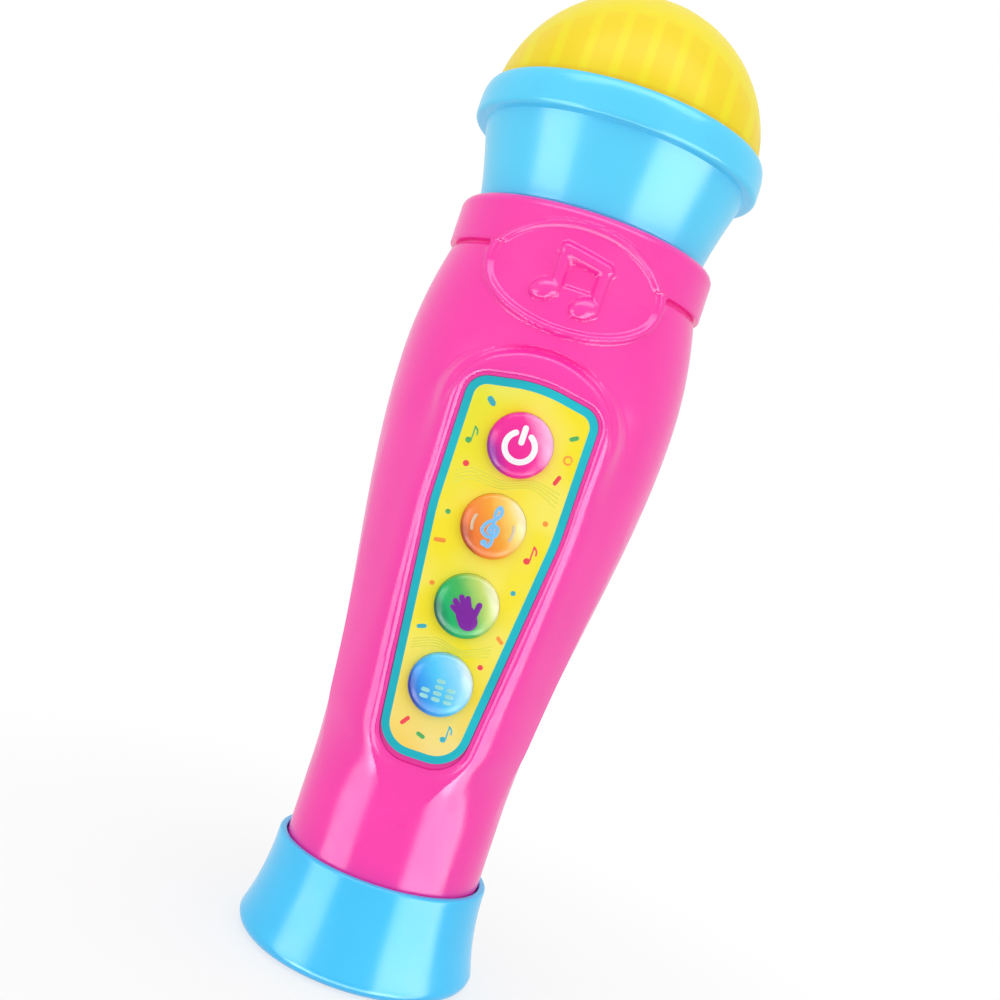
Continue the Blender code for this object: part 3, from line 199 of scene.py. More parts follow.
# a grid whose columns and rows are then laid on the wanted surface
def layGrid(name, columns, rows, surface):
    deselect()
    bpy.ops.mesh.primitive_grid_add(x_subdivisions=len(columns) - 1, y_subdivisions=len(rows) - 1, size=2)
    obj = named(name)
    spots = spotsOf(obj)
    i = np.rint((spots[:, 0] + 1) / 2 * (len(columns) - 1)).astype(int)
    j = np.rint((spots[:, 1] + 1) / 2 * (len(rows) - 1)).astype(int)
    obj.data.vertices.foreach_set("co", surface(i, j).ravel())
    obj.data.update()
    return obj, i, j


def fillBetween(obj, picked):
    shape = bmesh.from_edit_mesh(obj.data)
    bpy.ops.mesh.select_all(action="DESELECT")
    shape.verts.ensure_lookup_table()
    for index in np.flatnonzero(picked):
        shape.verts[index].select = True
    shape.select_flush(True)
    bpy.ops.mesh.edge_face_add()


def smooth(obj, degrees=40):
    only(obj)
    bpy.ops.object.shade_smooth_by_angle(angle=math.radians(degrees))


def arcPoints(centre, radius, start, end, count):
    turns = np.radians(np.linspace(start, end, count + 1))
    return [(centre[0] + radius * math.cos(a), centre[1] + radius * math.sin(a)) for a in turns]


# corners of (x, y, radius) to an outline whose corners are arcs
def roundedOutline(corners, steps=10):
    outline = []
    for n, (x, y, radius) in enumerate(corners):
        corner = Vector((x, y))
        back = (Vector(corners[n - 1][:2]) - corner).normalized()
        ahead = (Vector(corners[(n + 1) % len(corners)][:2]) - corner).normalized()
        opening = back.angle(ahead)
        middle = corner + (back + ahead).normalized() * radius / math.sin(opening / 2)
        start = corner + back * radius / math.tan(opening / 2) - middle
        turn = (math.pi - opening) * (1 if back.cross(ahead) < 0 else -1)
        for step in range(steps + 1):
            spoke = Matrix.Rotation(turn * step / steps, 2) @ start
            outline.append(tuple(middle + spoke))
    return outline


def grow(outline, distance):
    moved = []
    for n, spot in enumerate(outline):
        before = (Vector(spot) - Vector(outline[n - 1])).normalized()
        after = (Vector(outline[(n + 1) % len(outline)]) - Vector(spot)).normalized()
        along = (before + after).normalized()
        normal = Vector((along.y, -along.x))
        moved.append(tuple(Vector(spot) + normal * distance / max(0.5, normal.dot((before.y, -before.x)))))
    return moved


def outlineDistance(outline, px, py):
    best = np.full(px.shape, 1.0)
    inside = np.zeros(px.shape, bool)
    for (ax, ay), (bx, by) in zip(outline, outline[1:] + outline[:1]):
        ex, ey = bx - ax, by - ay
        t = np.clip(((px - ax) * ex + (py - ay) * ey) / (ex * ex + ey * ey), 0, 1)
        best = np.minimum(best, np.hypot(px - ax - t * ex, py - ay - t * ey))
        if ey:
            inside ^= ((ay > py) != (by > py)) & (px < ex * (py - ay) / ey + ax)
    return np.where(inside, -best, best)


def segmentDistance(ax, ay, bx, by, px, py):
    ex, ey = bx - ax, by - ay
    t = np.clip(((px - ax) * ex + (py - ay) * ey) / (ex * ex + ey * ey), 0, 1)
    return np.hypot(px - ax - t * ex, py - ay - t * ey)


def ease(x):
    x = np.clip(x, 0, 1)
    return x * x * (3 - 2 * x)


def softMax(a, b, width):
    h = np.maximum(width - np.abs(a - b), 0) / width
    return np.maximum(a, b) + h * h * width / 4


rearward = Matrix.Rotation(-math.pi / 2, 4, "X")     # turns a piece's own +Z to +Y

# camera at the photograph's angle
cameraPlace = {"distance": 0.279, "height": 0.1050, "side": -0.0004, "roll": 18.45, "lens": 45.0,
               "sensor": 36.0, "near": 0.01}
deselect()
bpy.ops.object.camera_add(location=(cameraPlace["side"], -cameraPlace["distance"], cameraPlace["height"]))
camera = bpy.context.object
camera.name = "camera"
roll = math.radians(cameraPlace["roll"])
camera.rotation_euler = Matrix(((math.cos(roll), -math.sin(roll), 0), (0, 0, -1),
                                (math.sin(roll), math.cos(roll), 0))).to_euler()
camera.data.sensor_width = cameraPlace["sensor"]
camera.data.sensor_fit = "HORIZONTAL"
camera.data.lens = cameraPlace["lens"]
camera.data.clip_start = cameraPlace["near"]
scene.camera = camera
print("camera set")


# finishes
def newFinish(name):
    finish = bpy.data.materials.new(name)
    finish.use_nodes = True
    return finish, finish.node_tree, finish.node_tree.nodes["Principled BSDF"]


def node(tree, kind, **settings):
    made = tree.nodes.new(kind)
    for key, value in settings.items():
        setattr(made, key, value)
    return made


def put(target, values):
    for key, value in values.items():
        target.inputs[key].default_value = value
    return target


def feed(tree, socket, value):                     # takes a number, a colour or another node's output
    if isinstance(value, (int, float)):
        socket.default_value = value
    elif isinstance(value, (tuple, list)):
        socket.default_value = (*value[:3], 1.0)
    else:
        tree.links.new(value, socket)


def maths(tree, operation, *terms):
    made = node(tree, "ShaderNodeMath", operation=operation)
    for socket, term in zip(made.inputs, terms):
        feed(tree, socket, term)
    return made.outputs[0]


def objectPlace(tree):
    return node(tree, "ShaderNodeTexCoord").outputs["Object"]


def axesOf(tree):
    split = node(tree, "ShaderNodeSeparateXYZ")
    tree.links.new(objectPlace(tree), split.inputs[0])
    return split.outputs


def noiseFrom(tree, scale, detail):
    noise = put(node(tree, "ShaderNodeTexNoise"), {"Scale": scale, "Detail": detail})
    tree.links.new(objectPlace(tree), noise.inputs["Vector"])
    return noise.outputs["Fac"]


def rangeOf(tree, source, low, high, fromLow=0.3, fromHigh=0.7):
    ranged = put(node(tree, "ShaderNodeMapRange"),
                 {"From Min": fromLow, "From Max": fromHigh, "To Min": low, "To Max": high})
    tree.links.new(source, ranged.inputs["Value"])
    return ranged.outputs["Result"]


def mixColour(tree, factor, first, second):
    mix = node(tree, "ShaderNodeMix", data_type="RGBA")
    for place, value in ((0, factor), (6, first), (7, second)):
        feed(tree, mix.inputs[place], value)
    return mix.outputs[2]


def bumpFrom(tree, height, strength, distance):
    bump = put(node(tree, "ShaderNodeBump"), {"Strength": strength, "Distance": distance})
    tree.links.new(height, bump.inputs["Height"])
    return bump


skin = {"grainScale": 1400.0, "grainDeep": 0.0001, "waveScale": 70.0, "waveDeep": 0.001, "shadeScale": 260.0,
        "smoothest": 0.85, "roughest": 1.2, "tintScale": 55.0}


# grain, a slight wave and uneven shine, worked into a shader
def fineSkin(tree, shader, rough, grain, wave):
    uneven = noiseFrom(tree, skin["shadeScale"], 3.0)
    shade = rangeOf(tree, uneven, rough * skin["smoothest"], rough * skin["roughest"])
    fine = bumpFrom(tree, noiseFrom(tree, skin["grainScale"], 2.0), grain, skin["grainDeep"])
    broad = bumpFrom(tree, noiseFrom(tree, skin["waveScale"], 1.0), wave, skin["waveDeep"])
    tree.links.new(shade, shader.inputs["Roughness"])
    tree.links.new(fine.outputs["Normal"], broad.inputs["Normal"])
    tree.links.new(broad.outputs["Normal"], shader.inputs["Normal"])


def mouldedPlastic(name, colour, rough, vary=0.05, grain=0.04, wave=0.02, gloss=0.5):
    finish, tree, shader = newFinish(name)
    put(shader, {"Specular IOR Level": gloss})
    low = tuple(c * (1 - vary) for c in colour)
    high = tuple(min(1.0, c * (1 + vary)) for c in colour)
    factor = rangeOf(tree, noiseFrom(tree, skin["tintScale"], 3.0), 0.0, 1.0)
    feed(tree, shader.inputs["Base Color"], mixColour(tree, factor, low, high))
    fineSkin(tree, shader, rough, grain, wave)
    return finish


def platedMetal(name, colour, rough=0.34, dull=0.82):
    finish, tree, shader = newFinish(name)
    put(shader, {"Metallic": 1.0})
    factor = rangeOf(tree, noiseFrom(tree, 320.0, 4.0), 0.0, 1.0)
    feed(tree, shader.inputs["Base Color"], mixColour(tree, factor, tuple(c * dull for c in colour), colour))
    fineSkin(tree, shader, rough, 0.08, 0.03)
    return finish


plasticColours = {"pink": (0.97, 0.034, 0.410), "blue": (0.044, 0.575, 0.970),
                  "paleBlue": (0.085, 0.650, 0.970), "teal": (0.010, 0.47, 0.56), "tray": (0.72, 0.72, 0.73),
                  "silicone": (0.45, 0.46, 0.48), "steel": (0.66, 0.66, 0.68)}
pinkPlastic = mouldedPlastic("pinkPlastic", plasticColours["pink"], 0.21, 0.03)
bluePlastic = mouldedPlastic("bluePlastic", plasticColours["blue"], 0.22, 0.03)
paleBlue = mouldedPlastic("paleBluePlastic", plasticColours["paleBlue"], 0.22, 0.03)
trayPlastic = mouldedPlastic("trayPlastic", plasticColours["tray"], 0.4, 0.04, 0.12)
greySilicone = mouldedPlastic("greySilicone", plasticColours["silicone"], 0.55, 0.08, 0.1)
platedSteel = platedMetal("platedSteel", plasticColours["steel"])
print("plain finishes made")

# the handle's outline
handle = {"gripRadius": 0.02205, "swellStart": 0.0380, "swellHeight": 0.1300, "swellRadius": 0.0313,
          "neckHeight": 0.1550, "neckRadius": 0.0281, "collarRadius": 0.0290, "collarTop": 0.1660,
          "collarRound": 0.0022, "lipRadius": 0.0249, "lipThickness": 0.0022, "boreRadius": 0.0268,
          "wall": 0.0022, "foot": 0.0028, "beadHeight": 0.0115, "beadHalf": 0.0015, "beadDepth": 0.00045,
          "capTop": 0.0215, "grooveDepth": 0.0006, "seamHalf": 0.0, "seamRound": 0.0005, "seamDeep": 0.0003}
widest = handle["swellRadius"]


def handleRadius(z):
    h = handle
    rise = np.clip((np.asarray(z, float) - h["swellStart"]) / (h["swellHeight"] - h["swellStart"]), 0, 1)
    fall = np.clip((np.asarray(z, float) - h["swellHeight"]) / (h["neckHeight"] - h["swellHeight"]), 0, 1)
    swell = (widest - h["gripRadius"]) * rise * rise * (3 - 2 * rise)
    return h["gripRadius"] + swell - (widest - h["neckRadius"]) * fall * fall


def handleProfile(levels):
    h = handle
    bead, low = h["beadHalf"], h["gripRadius"]
    high = low + h["beadDepth"]
    rows = [(low, h["foot"]), (low, h["beadHeight"] - bead - h["beadDepth"]), (high, h["beadHeight"] - bead),
            (high, h["beadHeight"] + bead), (low, h["beadHeight"] + bead + h["beadDepth"]),
            (low, h["capTop"])]
    neck, collar = h["neckHeight"], h["collarRadius"]
    rows += [(float(handleRadius(z)), z) for z in levels if z < neck - 0.00065]
    grooveFloor = h["neckRadius"] - h["grooveDepth"]       # groove under the collar
    rows += [(h["neckRadius"], neck - 0.0005), (h["neckRadius"] - 0.0001, neck - 0.0003),
             (grooveFloor, neck - 0.00012), (grooveFloor, neck + 0.00025), (collar - 0.0002, neck + 0.0005),
             (collar, neck + 0.0008)]
    straight = h["collarTop"] - h["collarRound"]
    rows += [(collar, z) for z in levels if neck + 0.001 < z < straight - 0.0001]
    rows += arcPoints((collar - h["collarRound"], straight), h["collarRound"], 0, 90, 8)
    return rows + [(h["lipRadius"], h["collarTop"])]


# inside of the handle, as a plug to cut away
def handleCore(name, inset):
    h = handle
    levels = np.linspace(h["swellStart"], h["neckHeight"], 30)
    lip = h["collarTop"] - h["lipThickness"]
    profile = [(0, -0.01), (h["gripRadius"] - inset, -0.01)]
    profile += [(float(handleRadius(z)) - inset, float(z)) for z in levels]
    profile += [(h["boreRadius"], h["neckHeight"] + 0.0005), (h["boreRadius"], lip), (h["lipRadius"], lip),
                (h["lipRadius"], 0.18), (0, 0.18)]
    return spinProfile(name, profile, 96)


# button panel, in its own frame: x across, y up the panel, z out of it
panel = {"tilt": 6.5, "height": 0.0885, "sink": 0.0019, "floor": 0.0018, "top": 0.0420, "shoulder": 0.0394,
         "bottom": -0.0408, "topHalf": 0.0143, "bottomHalf": 0.0092, "waist": 0.0120, "corner": 0.0050,
         "endRound": 0.0078, "sideRound": 0.0600, "crownRound": 0.0300}
rim = {"height": 0.0016, "width": 0.0026, "browHeight": 0.0070, "browShoulder": 0.0018, "browRound": 0.0200,
       "edge": 0.0016, "sideEdge": 0.0028, "footEdge": 0.0045, "footWidth": 0.0046, "shoulder": 0.0130,
       "browSlope": 2.4, "sideSlope": 2.0, "browBlend": 0.0004, "sideBlend": 0.0040, "sideTop": 0.040,
       "footTop": -0.008, "change": 0.028, "crease": 0.00080, "creaseHalf": 0.0010, "creaseOut": 0.0006,
       "creaseLow": 0.030, "creaseRun": 0.008, "footStart": -0.0385, "footSoft": 0.008, "footStretch": 0.85,
       "footEnd": 0.034, "footRun": 0.013, "topEnd": 0.148, "turnEnd": 1.2}
panelY = panel["sink"] - float(handleRadius(panel["height"]))
tilt = math.radians(panel["tilt"])
panelMatrix = Matrix.Translation((0, panelY, panel["height"])) @ Matrix.Rotation(math.pi / 2 + tilt, 4, "X")


def panelOutline(wider=0.0, dip=0.0):
    p = panel
    bottom = p["bottom"] - dip
    corners = [(-p["bottomHalf"], bottom, p["endRound"]), (p["bottomHalf"], bottom, p["endRound"]),
               (p["topHalf"], p["waist"], p["sideRound"]), (p["topHalf"], p["shoulder"], p["corner"]),
               (0, p["top"], p["crownRound"]), (-p["topHalf"], p["shoulder"], p["corner"]),
               (-p["topHalf"], p["waist"], p["sideRound"])]
    return grow(roundedOutline(corners), wider)


def rimOutline():
    p, wide = panel, rim["width"]
    half, shoulder = p["topHalf"] + wide, p["shoulder"] + rim["browShoulder"]
    low, end = p["bottom"] - rim["footWidth"], p["endRound"] + rim["footWidth"]
    lowHalf = p["bottomHalf"] + rim["footWidth"]
    corners = [(-lowHalf, low, end), (lowHalf, low, end),
               (half, p["waist"], p["sideRound"]), (half, shoulder, rim["shoulder"]),
               (0, p["top"] + rim["browHeight"], rim["browRound"]), (-half, shoulder, rim["shoulder"]),
               (-half, p["waist"], p["sideRound"])]
    return roundedOutline(corners, 14)


# oval emblem on the collar: a ring, a plate and a pair of joined notes, all in relief
emblem = {"height": 0.1514, "halfWidth": 0.0192, "halfHeight": 0.0122, "bead": 0.0024, "beadRise": 0.0010,
          "plateRise": 0.0003, "plateRun": 0.0008, "noteRise": 0.0011, "noteSide": -0.0009, "noteUp": 0.0010,
          "headHalf": 0.0030, "headHeight": 0.0025, "headRound": 1.5, "headLean": 0.25, "spread": 0.0086,
          "stem": 0.0105, "stemWidth": 0.0023, "stemRise": 0.9, "beam": 0.0032, "slant": -0.0016,
          "slotDepth": 0.0005, "slotSide": 0.0010, "slotFoot": 0.0020, "slotTop": 0.0012, "slotRun": 0.0008,
          "slotFootRun": 0.0010, "reachSide": 0.0215, "reachUp": 0.0142, "reachTurn": 1.0, "patchOut": 0.0009,
          "reliefOut": 0.0016, "edgeRun": 0.0014}


def emblemDistance(x, up):
    q = np.sqrt((x / emblem["halfWidth"]) ** 2 + (up / emblem["halfHeight"]) ** 2) + 1e-9
    slope = np.sqrt((x / emblem["halfWidth"] ** 2) ** 2 + (up / emblem["halfHeight"] ** 2) ** 2) / q
    return (q - 1) / np.maximum(slope, 1.0)


def noteRelief(x, up):
    e = emblem
    x, up = x - e["noteSide"], up - e["noteUp"]
    half, base = e["spread"] / 2, -e["stem"] / 2
    offset = e["headHalf"] - e["stemWidth"] / 2
    top = base + e["stem"] - e["beam"] / 2
    side, run = e["slotSide"], e["slotRun"]
    between = ease((x + half - offset - side) / run) * ease((half + offset - side - x) / run)
    slot = between * ease((up - base - e["slotFoot"]) / e["slotFootRun"])
    slot = slot * ease((top - e["slotTop"] - up) / run)
    relief = np.zeros(x.shape)
    for side in (-1, 1):
        lift = side * e["slant"] / 2
        lean = (x - side * half) * e["headLean"]
        q = ((x - side * half) / e["headHalf"]) ** 2 + ((up - base - lift - lean) / e["headHeight"]) ** 2
        relief = np.maximum(relief, e["headRound"] * np.sqrt(np.clip(1 - q, 0, 1)))
        stemSide = side * half + offset
        d = segmentDistance(stemSide, base + lift, stemSide, top + lift, x, up)
        relief = np.maximum(relief, ease(1.35 - d / (e["stemWidth"] / 2)) * e["stemRise"])
    d = segmentDistance(offset - half, top - e["slant"] / 2, offset + half, top + e["slant"] / 2, x, up)
    relief = np.maximum(relief, ease(1.3 - d / (e["beam"] / 2)))
    return relief * e["noteRise"] - slot * e["slotDepth"] * ease(1 - relief / 0.25)


def emblemRelief(x, up):
    e, d = emblem, emblemDistance(x, up)
    ring = ease(1.3 - 1.3 * np.abs(d + e["bead"] / 2) / (e["bead"] / 2))
    plate = ease((-d - 0.0001) / e["plateRun"]) * e["plateRise"]
    return plate + ring * (e["beadRise"] - e["plateRise"]) + noteRelief(x, up) * ease(-d / 0.002), d


# the front's surface: the turned outline with the raised rim, the brow and the emblem worked into it
def frontRadius(turn, radius, z):
    e, r, outline = emblem, rim, rimOutline()
    body = radius.copy()
    x, rise = body * np.sin(turn), z - emblem["height"]
    relief, d = emblemRelief(x, rise)
    near = (np.abs(x) < e["reachSide"]) & (np.abs(rise) < e["reachUp"]) & (np.abs(turn) < e["reachTurn"])
    weight = np.where(near, ease((e["patchOut"] - d) / e["edgeRun"]), 0)
    body = body * (1 - weight) + weight * np.maximum(handleRadius(z), handle["collarRadius"])
    body = body + np.where(near, relief * ease((e["reliefOut"] - d) / e["edgeRun"]), 0)
    c, s = math.cos(tilt), math.sin(tilt)
    front = (np.abs(turn) < r["turnEnd"]) & (z > r["footEnd"]) & (z < r["topEnd"])
    turn, z, plain = turn[front], z[front], body[front]

    def rimAt(reach):                              # how far out the rim stands, its blend and its groove
        x, y = reach * np.sin(turn), -reach * np.cos(turn)
        up = -s * (y - panelY) + c * (z - panel["height"])
        side, foot = ease((r["sideTop"] - up) / r["change"]), ease((r["footTop"] - up) / r["change"])
        edge = r["edge"] + (r["sideEdge"] - r["edge"]) * side + (r["footEdge"] - r["sideEdge"]) * foot
        slope = r["browSlope"] + (r["sideSlope"] - r["browSlope"]) * side
        blend = r["browBlend"] + (r["sideBlend"] - r["browBlend"]) * side
        below, soft = np.maximum(r["footStart"] - up, 0), r["footSoft"]
        ramp = np.where(below < soft, below ** 2 / (2 * soft), below - soft / 2)
        apart = outlineDistance(outline, x, up + ramp * r["footStretch"])
        groove = r["crease"] * ease(1 - np.abs(apart - r["creaseOut"]) / r["creaseHalf"])
        groove = groove * ease((up - r["creaseLow"]) / r["creaseRun"])
        away, bend = apart + edge, edge * slope
        drop = np.where(away < bend, np.maximum(away, 0) ** 2 / (2 * edge),
                        bend * slope / 2 + (away - bend) * slope)
        return (r["height"] - drop + s * (z - panel["height"])) / c - panelY, blend, groove

    low, high = plain * 0.6, plain * 1.4
    for _ in range(13):                            # closes in on where each ray leaves the rim
        middle = (low + high) / 2
        outside = middle * np.cos(turn) > rimAt(middle)[0]
        low, high = np.where(outside, low, middle), np.where(outside, middle, high)
    blend, groove = rimAt(np.maximum(plain, high))[1:]
    raised = softMax(plain, high, blend) - plain
    body[front] = plain + raised * ease((z - r["footEnd"]) / r["footRun"]) - groove
    return body


def shellHalf(name, turns, profile, radiusOf, front):
    h = handle
    radii, heights = np.array([p[0] for p in profile]), np.array([p[1] for p in profile])
    facing = -1 if front else 1

    def surface(i, j):
        turn, radius, z = turns[i], radii[j], heights[j]
        radius = radiusOf(turn, radius, z) if radiusOf else radius
        fromSeam = radius * (math.pi / 2 - np.abs(turn))
        radius = radius - h["seamDeep"] * (1 - np.clip(fromSeam / h["seamRound"], 0, 1)) ** 2
        y = facing * np.where(np.abs(np.abs(turn) - math.pi / 2) < 1e-9, 0, radius * np.cos(turn))
        return np.stack([-facing * radius * np.sin(turn), y + facing * h["seamHalf"], z], axis=1)

    obj, i, j = layGrid(name, turns, profile, surface)
    edit(obj)
    for picked in (j == 0, j == len(profile) - 1, (i == 0) | (i == len(turns) - 1)):
        fillBetween(obj, picked)
    tidyNormals()
    return obj


# turns from seam to seam: close in front, wider beside it and close again at the seams
def turnSteps(fineHalf, fineStep, coarseStep):
    fine = np.arange(0, fineHalf, fineStep)
    coarse = np.arange(fineHalf, 88.2, coarseStep)
    half = np.concatenate([fine[1:], coarse, [88.8, 89.3, 89.65, 90.0]])
    return np.radians(np.concatenate([-half[::-1], [0], half]))


def levelsOf(runs):
    return [z for run in runs for z in np.arange(*run)]


frontRows = ((0.0240, 0.0330, 0.003), (0.0330, 0.1180, 0.0006), (0.1180, 0.1645, 0.00028))    # from, to, step
frontProfile = handleProfile(levelsOf(frontRows))
frontShell = shellHalf("frontShell", turnSteps(42, 0.5, 1.7), frontProfile, frontRadius, True)
cutAway(frontShell, handleCore("frontCore", handle["wall"]))
floorPlate = {"wider": 0.0012, "top": 0.0004, "pocketInset": 0.0015, "pocketDeep": 0.0144}
floorOutline = panelOutline(floorPlate["wider"])
addOn(frontShell, prism("panelFloor", floorOutline, -panel["floor"], floorPlate["top"], panelMatrix))

# recess, cut by outlines stacked level on level: walls, a round lip and a shallow dish running out below
cut = {"inset": 0.0004, "longer": 0.0008, "wallTop": 0.0007, "ledge": (0.00072, 0.0001, 0.0010),
       "lipLow": 0.00075, "lipRise": 0.00085, "lipWider": 0.0022, "lipRun": 0.002, "lipLonger": 0.0011,
       "lipStretch": 0.0009, "flare": ((0.0016, 0.0022), (0.0020, 0.0032), (0.0060, 0.0052)),
       "dishRise": 0.0009, "dishStart": 0.0042, "dishRun": 0.0085, "endLonger": 0.0090}
recess = [(0.0, -cut["inset"], cut["longer"]), (cut["wallTop"], -cut["inset"], cut["longer"]), cut["ledge"]]
recess += [(cut["lipLow"] + cut["lipRise"] * math.sin(a), cut["lipWider"] - cut["lipRun"] * math.cos(a),
            cut["lipLonger"] + cut["lipStretch"] * math.sin(a)) for a in np.radians(np.linspace(0, 90, 9))]
flareLevels, flareWider = zip(*cut["flare"])
for step in np.linspace(0.1, 1, 10):
    level = flareLevels[0] + cut["dishRise"] * float(ease(step))
    wider = float(np.interp(level, flareLevels, flareWider))
    recess.append((level, wider, cut["dishStart"] + cut["dishRun"] * step - wider))
recess.append((flareLevels[-1], flareWider[-1], cut["endLonger"]))
layers = [[(x, y, level) for x, y in panelOutline(wider, longer)] for level, wider, longer in recess]
cutAway(frontShell, settle(loftLevels("recess", layers), panelMatrix))
pocketOutline = panelOutline(-floorPlate["pocketInset"])
cutAway(frontShell, prism("pocket", pocketOutline, -floorPlate["pocketDeep"], -panel["floor"], panelMatrix))
buttonPlaces = {"power": 0.0284, "melody": 0.01125, "clap": -0.0059, "rhythm": -0.02305}
buttonHole = 0.00695
for up in buttonPlaces.values():
    spot = panelMatrix @ Matrix.Translation((0, up, 0))
    cutAway(frontShell, post("hole", buttonHole, -0.004, 0.004, spot, 64))
smooth(frontShell)
print("front shell:", len(frontShell.data.polygons), "faces")

# rear half: sound slots, door seat, screw holes
rear = {"slotHeight": 0.138, "slotPitch": 0.004, "slotHalves": (0.006, 0.009, 0.010, 0.009, 0.006),
        "slotHalf": 0.0009, "slotStart": 0.0215, "screwHole": 0.0029, "shankHole": 0.0016, "bayHalf": 0.0152,
        "bayLow": 0.0543, "bayHigh": 0.1105, "postRadius": 0.0042, "seat": 0.006, "cutFrom": 0.008,
        "cutTo": 0.06}
rearRows = ((0.0240, 0.1535, 0.0015), (0.1565, 0.164, 0.0015))
screwSpots = []
for n in range(1, 5):
    low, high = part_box(f"shell_screw_{n}")
    screwSpots.append(((low[0] + high[0]) / 2, (low[2] + high[2]) / 2))
door = {"half": 0.0168, "low": 0.0405, "high": 0.1165, "thickness": 0.0012, "gap": 0.0003, "hookHalf": 0.0047,
        "hookThick": 0.0012, "hookInset": 0.0006, "hookSet": 0.0030, "hookTall": 0.002, "hookTip": 0.0018,
        "notchLow": 0.1121, "notchHigh": 0.1168, "screwHeight": 0.046, "cupRadius": 0.0039,
        "cupDepth": 0.0038, "cupFloor": 0.0018, "wellRadius": 0.0049, "wellWall": 0.0013, "wellDepth": 0.0061,
        "pilotRadius": 0.0023, "pilotDepth": 0.0046, "shankHole": 0.0016, "headHole": 0.0030,
        "ridges": (0.0565, 0.0590, 0.0615), "ridgeHalf": 0.0062, "ridgeRise": 0.00035, "ridgeLow": 0.055,
        "ridgeHigh": 0.063, "ridgeStep": 0.00025, "bevel": 0.00025}
gap = door["gap"]
rearShell = shellHalf("rearShell", turnSteps(40, 2.0, 2.0), handleProfile(levelsOf(rearRows)), None, False)
cutAway(rearShell, handleCore("rearCore", handle["wall"]))


def withinHandle(obj, inset):                      # trims a post to the inside of the handle's skin
    return combine(obj, handleCore("trim", inset), "INTERSECT")


for x, z in screwSpots:
    spot = Matrix.Translation((x, 0, z)) @ rearward
    boss = post("boss", rear["postRadius"], handle["seamHalf"], widest, spot, 32)
    addOn(rearShell, withinHandle(boss, 0.0014))
    cutAway(rearShell, post("headHole", rear["screwHole"], rear["seat"], 0.04, spot, 40))
    cutAway(rearShell, post("shankHole", rear["shankHole"], -0.006, 0.012, spot, 24))
for n, half in enumerate(rear["slotHalves"]):
    rise = rear["slotHeight"] + (n - 2) * rear["slotPitch"]
    ends = arcPoints((half, 0), rear["slotHalf"], -90, 90, 8)
    ends += arcPoints((-half, 0), rear["slotHalf"], 90, 270, 8)
    spot = Matrix.Translation((0, 0, rise)) @ rearward
    cutAway(rearShell, prism("slot", ends, rear["slotStart"], 0.05, spot))


def rearBlock(name, half, low, high):              # reaches through the handle's back
    return block(name, (-half, rear["cutFrom"], low), (half, rear["cutTo"], high))


seat = rearBlock("doorSeat", door["half"] + gap, door["low"] - gap, door["high"] + gap)
cutAway(rearShell, cutAway(seat, handleCore("seatCore", door["thickness"] + gap)))
cutAway(rearShell, rearBlock("bay", rear["bayHalf"], rear["bayLow"], rear["bayHigh"]))
cutAway(rearShell, rearBlock("notch", door["hookHalf"] + gap, door["notchLow"], door["notchHigh"]))
doorSpot = Matrix.Translation((0, 0, door["screwHeight"])) @ rearward
cupEnd = float(handleRadius(door["screwHeight"])) - door["cupDepth"]
well = post("well", door["wellRadius"] + door["wellWall"], cupEnd - door["wellDepth"], widest, doorSpot)
addOn(rearShell, withinHandle(well, 0.0017))
cutAway(rearShell, post("wellMouth", door["wellRadius"], cupEnd - gap, widest, doorSpot))
cutAway(rearShell, post("wellHole", door["pilotRadius"], cupEnd - door["pilotDepth"], widest, doorSpot, 24))
smooth(rearShell)
print("rear shell:", len(rearShell.data.polygons), "faces")


# battery door: a patch of the handle's surface given thickness, with grip ridges, hooks and a screw cup
def doorSurface(i, j):
    x, z = doorColumns[i], doorRows[j]
    radius = handleRadius(z)
    for height in door["ridges"]:
        along = ease((door["ridgeHalf"] - np.abs(x)) / 0.0006)
        across = np.clip(1 - ((z - height) / 0.0007) ** 2, 0, 1)
        radius = radius + door["ridgeRise"] * along * across
    return np.stack([x, np.sqrt(radius ** 2 - x ** 2), z], axis=1)


doorColumns = np.linspace(-door["half"], door["half"], 57)
doorRows = np.concatenate([np.linspace(door["low"], door["ridgeLow"], 12)[:-1],
                           np.arange(door["ridgeLow"], door["ridgeHigh"], door["ridgeStep"]),
                           np.linspace(door["ridgeHigh"], door["high"], 34)])
batteryDoor = layGrid("batteryDoor", doorColumns, doorRows, doorSurface)[0]
edit(batteryDoor)
selectAll()
bpy.ops.mesh.normals_make_consistent(inside=False)
if sum(face.normal.y for face in bmesh.from_edit_mesh(batteryDoor.data).faces) < 0:
    bpy.ops.mesh.flip_normals()
bpy.ops.object.mode_set(mode="OBJECT")
applyModifier(batteryDoor, "SOLIDIFY", thickness=door["thickness"], offset=-1.0, use_rim=True)
applyModifier(batteryDoor, "BEVEL", width=door["bevel"], segments=2, limit_method="ANGLE",
              angle_limit=math.radians(55))
hinge = float(handleRadius(door["high"]))
hookTop, hookBack = door["high"] - door["hookInset"], hinge - door["hookSet"]
hookFront = hookBack - door["hookThick"]
addOn(batteryDoor, block("hookRoot", (-door["hookHalf"], hookFront, hookTop - door["hookTall"]),
                         (door["hookHalf"], hinge - door["thickness"] + 0.0003, hookTop)))
addOn(batteryDoor, block("hook", (-door["hookHalf"], hookFront, door["high"] - door["hookTall"]),
                         (door["hookHalf"], hookBack, door["high"] + door["hookTip"])))
addOn(batteryDoor, withinHandle(post("cup", door["cupRadius"], cupEnd, widest, doorSpot, 64), 0.0006))
cutAway(batteryDoor, post("headSeat", door["headHole"], cupEnd + door["cupFloor"], widest, doorSpot))
cutAway(batteryDoor, post("shankHole", door["shankHole"], 0, widest, doorSpot, 24))
smooth(batteryDoor)
print("battery door:", len(batteryDoor.data.polygons), "faces")

